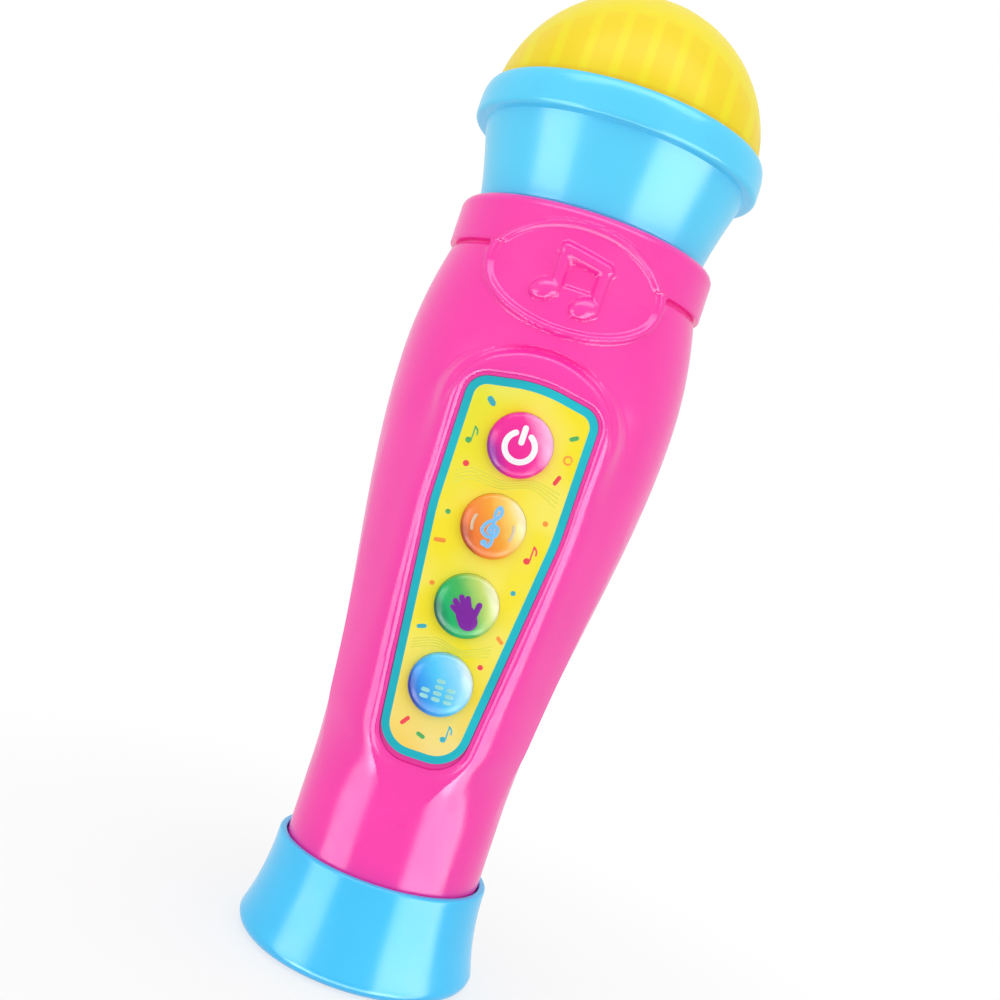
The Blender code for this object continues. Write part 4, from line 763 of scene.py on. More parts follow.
# base cap
cap = {"height": 0.0220, "footRadius": 0.0278, "rimRadius": 0.0239, "flare": 2.2, "floor": 0.0025,
       "edge": 0.0028, "rimRound": 0.0006, "pocket": 0.02235, "footRecess": 0.0008}


def capRadius(z):
    return cap["rimRadius"] + (cap["footRadius"] - cap["rimRadius"]) * (1 - z / cap["height"]) ** cap["flare"]


edge = (capRadius(cap["edge"]) - cap["edge"], cap["edge"])
capProfile = [(0, cap["footRecess"]), (0.0195, cap["footRecess"]), (0.0202, 0.0002), (0.0208, 0.0)]
capProfile += arcPoints(edge, cap["edge"], -90, 0, 8)
capProfile += [(capRadius(z), z) for z in np.linspace(cap["edge"], cap["height"] - cap["rimRound"], 22)[1:]]
rimTop = capProfile[-1]
capProfile += arcPoints((rimTop[0] - cap["rimRound"], rimTop[1]), cap["rimRound"], 15, 90, 4)
bead = handle["beadHalf"] + 0.0003
pocket, deep, mid = cap["pocket"], cap["pocket"] + handle["beadDepth"], handle["beadHeight"]
capProfile += [(pocket + 0.0002, cap["height"]), (pocket, cap["height"] - 0.0002),
               (pocket, mid + bead + handle["beadDepth"]), (deep, mid + bead), (deep, mid - bead),
               (pocket, mid - bead - handle["beadDepth"]), (pocket, cap["floor"]), (0, cap["floor"])]
baseCap = spinProfile("baseCap", capProfile, 128)
smooth(baseCap)

# head collar: spigot and flange below, flared cone, band with its lip, seat and deck inside
collar = {"foot": 0.1663, "bandLow": 0.1837, "bandHigh": 0.1917, "bandRadius": 0.0325, "coneFoot": 0.0258,
          "coneTop": 0.0300, "flare": 1.3, "bandRound": 0.0014, "bandFall": 0.0042, "lipRound": 0.0011,
          "spigot": 0.0246, "flangeLow": 0.1611, "flangeHigh": 0.1635, "flange": 0.0265, "bore": 0.0224,
          "seatEdge": 0.0307, "seat": 0.1852, "seatInner": 0.0275, "deck": 0.1795, "deckHole": 0.0060,
          "deckThick": 0.0020, "wall": 0.0022}


def coneRadius(z):
    rise = max(0.0, (z - collar["foot"]) / (collar["bandLow"] - collar["foot"]))
    return collar["coneFoot"] + (collar["coneTop"] - collar["coneFoot"]) * rise ** collar["flare"]


k = collar
collarProfile = [(k["bore"], k["flangeLow"]), (k["flange"], k["flangeLow"]), (k["flange"], k["flangeHigh"]),
                 (k["spigot"], k["flangeHigh"]), (k["spigot"], k["foot"]),
                 (k["coneFoot"] - 0.0003, k["foot"]), (k["coneFoot"], k["foot"] + 0.0003)]
collarProfile += [(coneRadius(z), z) for z in np.linspace(k["foot"] + 0.0006, k["bandLow"] - 0.0004, 20)]
collarProfile += [(k["coneTop"], k["bandLow"] - 0.00005), (k["coneTop"] + 0.0002, k["bandLow"])]
lipCentre = (k["bandRadius"] - k["lipRound"], k["bandLow"] + k["lipRound"])
collarProfile += arcPoints(lipCentre, k["lipRound"], -90, 0, 6)
bandTurns = np.radians(np.linspace(0, 90, 10))
collarProfile += [(k["bandRadius"] - k["bandRound"] * (1 - math.cos(a)),
                   k["bandHigh"] - k["bandFall"] * (1 - math.sin(a))) for a in bandTurns]
deckLow = k["deck"] - k["deckThick"]
collarProfile += [(k["seatEdge"] + 0.0001, k["bandHigh"]), (k["seatEdge"], k["bandHigh"] - 0.0001),
                  (k["seatEdge"], k["seat"]), (k["seatInner"], k["seat"]), (k["seatInner"], k["bandLow"]),
                  (coneRadius(k["deck"]) - k["wall"], k["deck"]), (k["deckHole"], k["deck"]),
                  (k["deckHole"], deckLow), (coneRadius(deckLow) - k["wall"], deckLow),
                  (coneRadius(k["foot"]) - k["wall"], k["foot"] + k["wall"]), (k["bore"], k["foot"]),
                  (k["bore"], k["flangeLow"])]
headCollar = spinProfile("headCollar", collarProfile, 144)
smooth(headCollar)

# dome: two skins, the inner one with parallel slats standing in from it
dome = {"radius": 0.0304, "centre": 0.1896, "foot": 0.1855, "wall": 0.0020, "slatPitch": 0.0061,
        "slatDepth": 0.0006, "slatTop": 0.2082, "slatRun": 0.001, "slatArch": 14.3}
inner = dome["radius"] - dome["wall"]
domeProfile = [(dome["radius"] - 0.0002, dome["foot"]), (dome["radius"], dome["foot"] + 0.0002)]
domeProfile += arcPoints((0, dome["centre"]), dome["radius"], 0, 90, 30)
domeProfile += arcPoints((0, dome["centre"]), inner, 90, 0, 60) + [(inner, dome["foot"])]
domeProfile[32] = (0, dome["centre"] + dome["radius"])
domeProfile[33] = (0, dome["centre"] + inner)
domeOuter = spinProfile("domeCover", domeProfile[:33], 240)
domeInner = spinProfile("domeInner", domeProfile[33:], 240)
spots = spotsOf(domeInner)
high = np.maximum(spots[:, 2] - dome["centre"], 0)
wave = 0.5 + 0.5 * np.cos(spots[:, 0] * 2 * math.pi / dome["slatPitch"])
archTop = dome["slatTop"] + dome["slatRun"]
under = ease((archTop - spots[:, 2] - dome["slatArch"] * spots[:, 0] ** 2) / dome["slatRun"])
draw = dome["slatDepth"] * wave ** 2 * under / inner
spots[:, :2] *= (1 - draw)[:, None]
spots[:, 2] = np.where(high > 0, dome["centre"] + high * (1 - draw), spots[:, 2])
domeInner.data.vertices.foreach_set("co", spots.ravel())
only(domeInner)
domeOuter.select_set(True)
bpy.context.view_layer.objects.active = domeOuter
bpy.ops.object.join()
domeCover = domeOuter
edit(domeCover)
bpy.ops.mesh.select_mode(type="EDGE")
bpy.ops.mesh.select_all(action="DESELECT")
bpy.ops.mesh.select_non_manifold(extend=False, use_wire=False, use_boundary=True, use_multi_face=False,
                                 use_non_contiguous=False, use_verts=False)
bpy.ops.mesh.bridge_edge_loops()
bpy.ops.mesh.select_mode(type="VERT")
tidyNormals()
smooth(domeCover)
print("head and base:", [len(obj.data.polygons) for obj in (baseCap, headCollar, domeCover)], "faces")

# label plate in the recess, with a border set in from its edge
label = {"low": 0.0003, "high": 0.0009, "inset": 0.0005, "shortFoot": 0.0006, "border": 0.0017,
         "hole": 0.0067}
labelEdge = panelOutline(-label["inset"], -label["shortFoot"])
panelLabel = prism("panelLabel", labelEdge, label["low"], label["high"])
edit(panelLabel)
bpy.ops.mesh.select_mode(type="FACE")
bpy.ops.mesh.select_all(action="DESELECT")
shape = bmesh.from_edit_mesh(panelLabel.data)
for face in shape.faces:
    face.select = face.normal.z > 0.9
bmesh.update_edit_mesh(panelLabel.data)
bpy.ops.mesh.inset(thickness=label["border"], depth=0.0)
shape = bmesh.from_edit_mesh(panelLabel.data)
for _ in range(2):
    panelLabel.data.materials.append(None)
for face in shape.faces:
    face.material_index = 1 if face.select else 0
bmesh.update_edit_mesh(panelLabel.data)
bpy.ops.mesh.select_mode(type="VERT")
bpy.ops.object.mode_set(mode="OBJECT")
for up in buttonPlaces.values():
    cutAway(panelLabel, post("hole", label["hole"], -0.002, 0.002, Matrix.Translation((0, up, 0)), 64))
settle(panelLabel, panelMatrix)
smooth(panelLabel)

# push button: domed cap, flange and stem, modelled once and copied
button = {"radius": 0.00665, "rise": 0.0038, "edge": 0.0018, "flange": 0.00785, "flangeFace": -0.0021,
          "flangeBack": -0.0031, "stem": 0.0026, "stemEnd": -0.0043, "crown": 2.2}


def crownHeight(r):
    part = np.clip(1 - np.abs(r / button["radius"]) ** button["crown"], 0, 1) ** (1 / button["crown"])
    return button["edge"] + (button["rise"] - button["edge"]) * part


crownRadii = [button["radius"] * math.sin(a) for a in np.linspace(0, math.pi / 2, 19)]
crown = [(r, float(crownHeight(r))) for r in crownRadii]
buttonProfile = crown + [(button["radius"], button["flangeFace"]), (button["flange"], button["flangeFace"]),
                         (button["flange"], button["flangeBack"]), (button["stem"], button["flangeBack"]),
                         (button["stem"], button["stemEnd"]), (0, button["stemEnd"])]
buttonCap = spinProfile("buttonCap", buttonProfile, 72)
smooth(buttonCap)


def copyOf(obj, name, matrix):
    twin = obj.copy()
    twin.data = obj.data.copy()
    twin.name = name
    twin.data.name = name
    scene.collection.objects.link(twin)
    return settle(twin, matrix)


# soft pad between a button's stem and the board: a squat dome on a thin foot
pad = {"gap": 0.0003, "height": 0.0030, "foot": 0.0055, "top": 0.0030, "brim": 0.0008, "round": 0.0003,
       "keep": 0.55}
padTop = button["stemEnd"] - pad["gap"]
padBase = padTop - pad["height"]
padProfile = [(0, padTop), (pad["top"] - pad["round"], padTop), (pad["top"], padTop - pad["round"]),
              (pad["top"], padTop - pad["brim"]), (pad["foot"] - pad["round"], padBase + pad["brim"]),
              (pad["foot"], padBase + pad["brim"] - pad["round"]), (pad["foot"], padBase), (0, padBase)]
padDome = spinProfile("padDome", padProfile, 48)
smooth(padDome)

buttons, pads = {}, {}
for name, up in buttonPlaces.items():
    spot = panelMatrix @ Matrix.Translation((0, up, 0))
    buttons[name] = copyOf(buttonCap, "button" + name.title(), spot)
    pads[name] = copyOf(padDome, "pad" + name.title(), spot)
discard(buttonCap)
discard(padDome)
print("label and buttons made")


# printed marks: strokes with round ends, flattened and laid on the surface under them
def strokeEnds(points, width):
    corners = [Vector(p) for p in points]
    spots = corners[:1]
    for start, end in zip(corners, corners[1:]):
        pieces = max(1, math.ceil((end - start).length / 0.0004))
        spots += [start.lerp(end, n / pieces) for n in range(1, pieces + 1)]
    first, last = (spots[0] - spots[1]).normalized(), (spots[-1] - spots[-2]).normalized()
    turns = [math.radians(a) for a in (86, 70, 48, 24)]
    reach = width / 2
    head = [(spots[0] + first * reach * math.sin(a), math.cos(a)) for a in turns]
    tail = [(spots[-1] + last * reach * math.sin(a), math.cos(a)) for a in reversed(turns)]
    return head + [(s, 1.0) for s in spots] + tail


def printMarks(name, strokes, surface, thick, matrix):
    curve = bpy.data.curves.new(name, "CURVE")
    curve.dimensions = "3D"
    curve.bevel_depth = 1.0
    curve.bevel_resolution = 2
    curve.use_fill_caps = True
    for points, width in strokes:
        path = strokeEnds(points, width)
        spline = curve.splines.new("POLY")
        spline.points.add(len(path) - 1)
        for spot, (place, size) in zip(spline.points, path):
            spot.co = (place[0], place[1], 0, 1)
            spot.radius = size * width / 2
    obj = bpy.data.objects.new(name, curve)
    scene.collection.objects.link(obj)
    only(obj)
    bpy.ops.object.convert(target="MESH")
    obj = named(name)
    size = min(width for points, width in strokes) / 2
    for vert in obj.data.vertices:
        x, y, h = vert.co
        vert.co.z = float(surface(x, y)) + thick * max(-0.6, min(1.0, h / size))
    edit(obj)
    tidyNormals()
    settle(obj, matrix)
    smooth(obj, 50)
    return obj


def smoothPath(points, count=10):
    spots = [Vector(p) for p in points]
    path = []
    for n in range(len(spots) - 1):
        a, b = spots[max(n - 1, 0)], spots[n]
        c, d = spots[n + 1], spots[min(n + 2, len(spots) - 1)]
        for step in range(count):
            t = step / count
            path.append(0.5 * (2 * b + (c - a) * t + (2 * a - 5 * b + 4 * c - d) * t * t
                               + (3 * b - a - 3 * c + d) * t ** 3))
    path.append(spots[-1])
    return [tuple(p) for p in path]


def dot(x, y, width):
    return [(x - width * 0.02, y), (x + width * 0.02, y)], width * 0.96


onCrown = lambda x, y: crownHeight(np.hypot(x, y)) + 0.00003
clef = [(0.15, -0.42), (-0.25, -0.3), (-0.05, 0.18), (0.4, 0.02), (0.32, -0.55), (-0.25, -0.72),
        (-0.72, -0.35), (-0.5, 0.25), (0.1, 0.75), (0.3, 1.25), (0.08, 1.6), (-0.12, 1.1), (0.05, 0.1),
        (0.22, -0.95), (0.05, -1.45), (-0.35, -1.25)]
marks = {
    "power": [(arcPoints((0, -0.0002), 0.0030, 122, 418, 32), 0.0012), ([(0, 0.0008), (0, 0.0037)], 0.0012)],
    "melody": [([(0.0027 * x, 0.0027 * y) for x, y in smoothPath(clef)], 0.00075),
               dot(-0.0008, -0.0034, 0.0014)],
    "clap": [([(0.0012, -0.0025), (0.0003, -0.0012)], 0.0040),
             ([(-0.0004, -0.0019), (-0.0027, -0.0005)], 0.0010),
             ([(-0.0003, -0.0010), (-0.0025, 0.0008)], 0.0012),
             ([(0.0002, -0.0005), (-0.0015, 0.0019)], 0.0012),
             ([(0.0008, -0.0002), (-0.0002, 0.0020)], 0.0012),
             ([(0.0020, -0.0016), (0.0024, 0.0014)], 0.0012)],
    "rhythm": [([(x, y), (x + 0.0009, y)], 0.0009) for x, top in ((-0.0030, 2), (-0.0005, 4), (0.0020, 3))
               for y in [-0.0026 + 0.0013 * n for n in range(top)]],
    "sound": [(arcPoints((0, 0), 0.0042, middle - 20, middle + 20, 10), 0.0006) for middle in (180, 0)],
}
markButton = {name: "melody" if name == "sound" else name for name in marks}
markPieces = {}
for name, strokes in marks.items():
    spot = panelMatrix @ Matrix.Translation((0, buttonPlaces[markButton[name]], 0))
    markPieces[name] = printMarks("mark" + name.title(), strokes, onCrown, 0.00006, spot)

# print on the label: flowing lines, small notes, dashes and dots in a layout of its own
onLabel = lambda x, y: label["high"] + 0.00001
staff = []
for n in range(4):
    step = n * 0.0009
    staff.append((smoothPath([(-0.0106, 0.0170 + step), (-0.0072, 0.0190 + step * 0.8),
                              (-0.0012, 0.0189 + step * 0.6), (0.0050, 0.0208 + step * 0.6),
                              (0.0106, 0.0188 + step)]), 0.00026))
    staff.append((smoothPath([(-0.0082, -0.0158 - step * 0.7), (-0.0036, -0.0142 - step * 0.6),
                              (0.0020, -0.0150 - step * 0.5), (0.0074, -0.0124 - step * 0.8)]), 0.00026))


def smallNote(x, y, size):
    return [dot(x, y, size), ([(x + size * 0.40, y), (x + size * 0.40, y + size * 2.3)], size * 0.24),
            (smoothPath([(x + size * 0.40, y + size * 2.3), (x + size * 0.9, y + size * 1.8),
                         (x + size * 1.0, y + size * 1.2)], 5), size * 0.28)]


def dash(x, y, length, turn, width):
    lean = Vector((math.cos(math.radians(turn)), math.sin(math.radians(turn)))) * length / 2
    return [(x - lean.x, y - lean.y), (x + lean.x, y + lean.y)], width


printColours = {
    "printLime": staff,
    "printRed": [dot(-0.0092, 0.0216, 0.0013), dash(0.0092, 0.0240, 0.0014, 70, 0.0009),
                 dot(0.0066, -0.0172, 0.0012),
                 dash(-0.0046, -0.0326, 0.0015, 55, 0.0009)] + smallNote(0.0086, 0.0066, 0.0014),
    "printTeal": [dash(-0.0082, 0.0350, 0.0010, -40, 0.0012), dot(0.0081, -0.0005, 0.0011),
                  dash(-0.0074, -0.0128, 0.0012, 20, 0.0009)] + smallNote(0.0040, -0.0340, 0.0013),
    "printGreen": [dash(0.0098, 0.0330, 0.0011, 30, 0.0009), dot(-0.0096, 0.0112, 0.0011),
                   dash(-0.0006, -0.0346, 0.0012, -20, 0.0009)] + smallNote(-0.0102, 0.0262, 0.0013),
    "printOrange": [dot(0.0098, 0.0150, 0.0012), dash(-0.0094, 0.0052, 0.0016, 10, 0.0009),
                    (arcPoints((0.0100, 0.0285), 0.0008, 0, 320, 16), 0.0004), dot(-0.0082, -0.0036, 0.0011),
                    dash(0.0086, -0.0106, 0.0012, -35, 0.0008)],
}
printPieces = {}
for name, strokes in printColours.items():
    printPieces[name] = printMarks(name, strokes, onLabel, 0.00005, panelMatrix)
print("prints made:", len(markPieces) + len(printPieces))

# screws with a cross recess, and the two cells
screw = {"head": 0.0026, "thick": 0.0016, "shank": 0.0013, "length": 0.0140, "pitch": 0.0008,
         "crossLong": 0.0014, "crossWide": 0.00036, "crossDeep": 0.0009, "doorHead": 0.0027,
         "doorThick": 0.0014, "doorReach": 0.004}


def makeScrew(name, head, thick, shank, length):
    profile = [(0, -length), (shank * 0.35, -length), (shank * 0.8, -length + 0.0012)]
    for turn in range(int((length - 0.0022) / screw["pitch"])):
        z = -length + 0.0014 + turn * screw["pitch"]
        profile += [(shank * 0.8, z), (shank, z + 0.0003), (shank * 0.8, z + 0.0006)]
    profile += [(shank * 0.8, -0.0004), (shank, 0), (head - 0.0002, 0), (head, 0.0002), (head, thick * 0.45)]
    profile += [(head * math.cos(a), thick * (0.45 + 0.55 * math.sin(a)))
                for a in np.radians((20, 40, 60, 75))]
    obj = spinProfile(name, profile + [(0, thick)], 32)
    for x, y in ((screw["crossLong"], screw["crossWide"]), (screw["crossWide"], screw["crossLong"])):
        cutAway(obj, block("cross", (-x, -y, thick - screw["crossDeep"]), (x, y, thick + 0.001)))
    smooth(obj)
    return obj


shellScrew = makeScrew("shellScrew", screw["head"], screw["thick"], screw["shank"], screw["length"])
shellScrews = []
for n, (x, z) in enumerate(screwSpots, 1):
    place = Matrix.Translation((x, rear["seat"] + gap, z)) @ rearward @ Matrix.Rotation(0.6 * n, 4, "Z")
    shellScrews.append(copyOf(shellScrew, f"shellScrew{n}", place))
discard(shellScrew)
headBase = cupEnd + door["cupFloor"] + gap
doorScrew = makeScrew("batteryDoorScrew", screw["doorHead"], screw["doorThick"], screw["shank"],
                      headBase - (cupEnd - gap - screw["doorReach"]))
settle(doorScrew, Matrix.Translation((0, headBase, door["screwHeight"])) @ rearward)

cell = {"radius": 0.00725, "length": 0.0505, "nub": 0.00275, "nubHeight": 0.0012, "edge": 0.0006,
        "side": 0.00765, "behind": 0.0080}
shoulder = cell["length"] - cell["nubHeight"]
cellProfile = [(0, 0), (0.0048, 0), (0.0052, 0.0002), (0.0060, 0.0002), (0.0064, 0.0)]
cellProfile += arcPoints((cell["radius"] - cell["edge"], cell["edge"]), cell["edge"], -80, 0, 4)
cellProfile += arcPoints((cell["radius"] - cell["edge"], shoulder - cell["edge"]), cell["edge"], 0, 90, 4)
cellProfile += [(0.0058, shoulder), (0.0055, shoulder - 0.0004), (0.0036, shoulder - 0.0004),
                (cell["nub"], shoulder), (cell["nub"], cell["length"] - 0.0003),
                (cell["nub"] - 0.0003, cell["length"]), (0, cell["length"])]
dryCell = spinProfile("dryCell", cellProfile, 56)
smooth(dryCell)
leftLow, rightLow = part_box("battery_left")[0][2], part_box("battery_right")[0][2]
leftSpot = Matrix.Translation((-cell["side"], cell["behind"], leftLow))
rightSpot = Matrix.Translation((cell["side"], cell["behind"], rightLow + cell["length"]))
cells = [copyOf(dryCell, "batteryLeft", leftSpot),
         copyOf(dryCell, "batteryRight", rightSpot @ Matrix.Rotation(math.pi, 4, "X"))]
discard(dryCell)
print("screws and cells made")


# finishes that follow the pieces' own shapes; the dome's foot and the buttons also carry painted shade and
# highlight
# foot: painted shade, a deeper amber ring where the dome sits down into the collar
domeLook = {"pane": (0.965, 0.740, 0.010), "cloud": (0.965, 0.760, 0.014), "slat": (0.965, 0.680, 0.010),
            "foot": (0.95, 0.52, 0.008), "footShadeLow": 0.1915, "footShadeHigh": 0.1932, "waveLow": 0.30,
            "waveHigh": 0.85, "gloss": 0.2, "scatter": 0.5, "scatterTint": (1.0, 0.85, 0.2),
            "scatterDeep": 0.004, "rough": 0.35}


def domeFinish():
    finish, tree, shader = newFinish("yellowDome")
    look, axes = domeLook, axesOf(tree)
    wave = maths(tree, "COSINE", maths(tree, "MULTIPLY", axes["X"], 2 * math.pi / dome["slatPitch"]))
    slats = rangeOf(tree, wave, 1.0, 0.0, look["waveLow"], look["waveHigh"])
    square = maths(tree, "MULTIPLY", axes["X"], axes["X"])
    arch = maths(tree, "MULTIPLY_ADD", square, dome["slatArch"], axes["Z"])
    within = rangeOf(tree, arch, 1.0, 0.0, dome["slatTop"], dome["slatTop"] + dome["slatRun"])
    clear = mixColour(tree, noiseFrom(tree, 60.0, 2.0), look["pane"], look["cloud"])
    striped = mixColour(tree, maths(tree, "MULTIPLY", slats, within), clear, look["slat"])
    # painted shade: the dome turns deep amber at its foot, where it meets the collar
    foot = rangeOf(tree, axes["Z"], 1.0, 0.0, look["footShadeLow"], look["footShadeHigh"])
    feed(tree, shader.inputs["Base Color"], mixColour(tree, foot, striped, look["foot"]))
    put(shader, {"Specular IOR Level": look["gloss"], "Subsurface Weight": look["scatter"],
                 "Subsurface Radius": look["scatterTint"], "Subsurface Scale": look["scatterDeep"]})
    fineSkin(tree, shader, look["rough"], 0.02, 0.01)
    return finish


fieldLook = {"yellow": (0.93, 0.79, 0.024), "pale": (0.94, 0.83, 0.120), "lime": (0.60, 0.80, 0.060),
             "cream": (0.95, 0.74, 0.260), "amber": (0.93, 0.60, 0.040), "limeLeft": (-0.011, 0.002),
             "limeHigh": (0.100, 0.126), "limeShare": 0.4, "warmLow": (0.050, 0.074), "gloss": 0.2,
             "rough": 0.35}


def fieldFinish():
    finish, tree, shader = newFinish("labelField")
    look, axes = fieldLook, axesOf(tree)
    cloud = rangeOf(tree, noiseFrom(tree, 85.0, 1.5), 0.0, 1.0, 0.38, 0.62)
    left = rangeOf(tree, axes["X"], look["limeShare"], 0.0, *look["limeLeft"])
    high = rangeOf(tree, axes["Z"], 0.0, 1.0, *look["limeHigh"])
    base = mixColour(tree, cloud, look["yellow"], look["pale"])
    limed = mixColour(tree, maths(tree, "MULTIPLY", left, high), base, look["lime"])
    patch = rangeOf(tree, noiseFrom(tree, 46.0, 1.0), 0.0, 1.0, 0.40, 0.60)
    low = rangeOf(tree, axes["Z"], 1.0, 0.0, *look["warmLow"])
    warm = mixColour(tree, patch, look["cream"], look["amber"])
    feed(tree, shader.inputs["Base Color"], mixColour(tree, low, limed, warm))
    put(shader, {"Specular IOR Level": look["gloss"]})
    fineSkin(tree, shader, look["rough"], 0.06, 0.01)
    return finish


cellLook = {"dark": (0.015, 0.016, 0.020), "worn": (0.035, 0.036, 0.042), "band": (0.60, 0.33, 0.10),
            "bandLow": 0.0895, "bandHigh": 0.0899, "metal": 0.6, "rough": 0.22}


def cellFinish():
    finish, tree, shader = newFinish("cellJacket")
    look = cellLook
    band = rangeOf(tree, axesOf(tree)["Z"], 0.0, 1.0, look["bandLow"], look["bandHigh"])
    dark = mixColour(tree, noiseFrom(tree, 90.0, 2.0), look["dark"], look["worn"])
    feed(tree, shader.inputs["Base Color"], mixColour(tree, band, dark, look["band"]))
    put(shader, {"Metallic": look["metal"]})
    fineSkin(tree, shader, look["rough"], 0.05, 0.01)
    return finish


# the way the painted light falls across a button: painted shade to the lower left, painted highlight to the
# upper right
buttonLightFall = {"across": 0.82, "up": 0.57, "wobble": 0.03, "gloss": 0.3, "rough": 0.22}


# colours blended across a button from its lower left to its upper right: a shift in hue, with painted shade
# at the lower left end and a painted highlight at the upper right end
def buttonPaintedLight(name, up, stops):
    finish, tree, shader = newFinish(name)
    look = buttonLightFall
    across = node(tree, "ShaderNodeVectorMath", operation="SUBTRACT")
    across.inputs[1].default_value = panelMatrix @ Vector((0, up, 0))
    tree.links.new(objectPlace(tree), across.inputs[0])
    lean = node(tree, "ShaderNodeVectorMath", operation="DOT_PRODUCT")
    lean.inputs[1].default_value = (look["across"] / button["radius"], 0, look["up"] / button["radius"])
    tree.links.new(across.outputs[0], lean.inputs[0])
    wobble = rangeOf(tree, noiseFrom(tree, 300.0, 2.0), -look["wobble"], look["wobble"])
    run = maths(tree, "ADD", rangeOf(tree, lean.outputs["Value"], 0.0, 1.0, -1.0, 1.0), wobble)
    ramp = node(tree, "ShaderNodeValToRGB")
    while len(ramp.color_ramp.elements) < len(stops):
        ramp.color_ramp.elements.new(0.5)
    for element, (position, colour) in zip(ramp.color_ramp.elements, stops):
        element.position = position
        element.color = (*colour, 1.0)
    tree.links.new(run, ramp.inputs["Fac"])
    tree.links.new(ramp.outputs["Color"], shader.inputs["Base Color"])
    put(shader, {"Specular IOR Level": look["gloss"]})
    fineSkin(tree, shader, look["rough"], 0.03, 0.01)
    return finish


yellowDome, labelField, cellJacket = domeFinish(), fieldFinish(), cellFinish()
tealBorder = mouldedPlastic("tealBorder", plasticColours["teal"], 0.35, 0.12, gloss=0.2)
# each ramp runs from painted shade (darkest, first stop) through the button's own hues to a painted highlight
# (palest, last stop)
buttonShadeToHighlight = {
    "power": ((0.04, (0.28, 0.016, 0.340)), (0.22, (0.86, 0.014, 0.320)), (0.66, (0.94, 0.026, 0.340)),
              (0.94, (0.95, 0.500, 0.800))),
    "melody": ((0.04, (0.42, 0.060, 0.016)), (0.20, (0.91, 0.210, 0.034)), (0.56, (0.94, 0.370, 0.032)),
               (0.80, (0.95, 0.700, 0.160)), (0.96, (0.95, 0.900, 0.600))),
    "clap": ((0.04, (0.006, 0.13, 0.090)), (0.22, (0.002, 0.46, 0.140)), (0.48, (0.060, 0.48, 0.100)),
             (0.80, (0.56, 0.72, 0.160)), (0.96, (0.90, 0.92, 0.620))),
    "rhythm": ((0.04, (0.016, 0.050, 0.42)), (0.22, (0.030, 0.33, 0.88)), (0.50, (0.080, 0.60, 0.960)),
               (0.80, (0.28, 0.72, 0.960)), (0.96, (0.70, 0.90, 0.970)))}
buttonFinish = {name: buttonPaintedLight("button" + name.title() + "Blend", buttonPlaces[name], stops)
                for name, stops in buttonShadeToHighlight.items()}
markColours = {"power": ("White", (0.90, 0.88, 0.90), 0.5), "melody": ("Sky", (0.18, 0.52, 0.90), 0.5),
               "clap": ("Purple", (0.20, 0.014, 0.33), 0.2), "rhythm": ("Mint", (0.28, 0.68, 0.66), 0.5),
               "sound": ("Sand", (0.62, 0.50, 0.34), 0.5)}
markFinish = {name: mouldedPlastic("mark" + ink, colour, 0.36, gloss=gloss)
              for name, (ink, colour, gloss) in markColours.items()}
inkColours = {"Lime": (0.74, 0.74, 0.06), "Red": (0.85, 0.045, 0.06), "Teal": (0.02, 0.42, 0.52),
              "Green": (0.06, 0.42, 0.10), "Orange": (0.95, 0.30, 0.02)}
printFinish = {"print" + ink: mouldedPlastic("ink" + ink, colour, 0.35) for ink, colour in inkColours.items()}


def give(obj, *finishes):
    obj.data.materials.clear()
    for finish in finishes:
        obj.data.materials.append(finish)


def hand(obj, body, slot, *nodesReplaced):
    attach(obj, body)
    if nodesReplaced:
        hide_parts(*nodesReplaced)


for obj, finish, body, slot, replaced in (
        (frontShell, pinkPlastic, "handle", "pink_plastic", "front_shell"),
        (rearShell, pinkPlastic, "handle", "pink_plastic", "rear_shell"),
        (batteryDoor, pinkPlastic, "battery_door", "pink_plastic", "battery_door"),
        (baseCap, bluePlastic, "handle", "blue_plastic", "base_cap"),
        (headCollar, paleBlue, "handle", "blue_plastic", "head_collar"),
        (domeCover, yellowDome, "handle", "yellow_dome", "dome_cover"),
        (doorScrew, platedSteel, "battery_door_screw", "plated_steel", "battery_door_screw"),
        (cells[0], cellJacket, "handle", "cell_jacket", "battery_left"),
        (cells[1], cellJacket, "handle", "cell_jacket", "battery_right")):
    give(obj, finish)
    hand(obj, body, slot, replaced)
borderFaces = [face.material_index for face in panelLabel.data.polygons]
give(panelLabel, tealBorder, labelField)
for face, index in zip(panelLabel.data.polygons, borderFaces):
    face.material_index = index
hand(panelLabel, "handle", "label_print", "panel_label")
for n, obj in enumerate(shellScrews, 1):
    give(obj, platedSteel)
    hand(obj, "handle", "plated_steel", f"shell_screw_{n}")
buttonSlots = {"power": "button_pink", "melody": "button_orange", "clap": "button_green",
               "rhythm": "button_blue"}
for name, obj in buttons.items():
    give(obj, buttonFinish[name])
    hand(obj, "button_" + name, buttonSlots[name], "button_" + name)
for name, obj in pads.items():
    give(obj, greySilicone)
    hand(obj, "handle", "grey_silicone", "contact_pad_" + name)
    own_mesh(obj)
for name, obj in markPieces.items():
    give(obj, markFinish[name])
    hand(obj, "button_" + markButton[name], "label_print")
for name, obj in printPieces.items():
    give(obj, printFinish[name])
    hand(obj, "handle", "label_print")

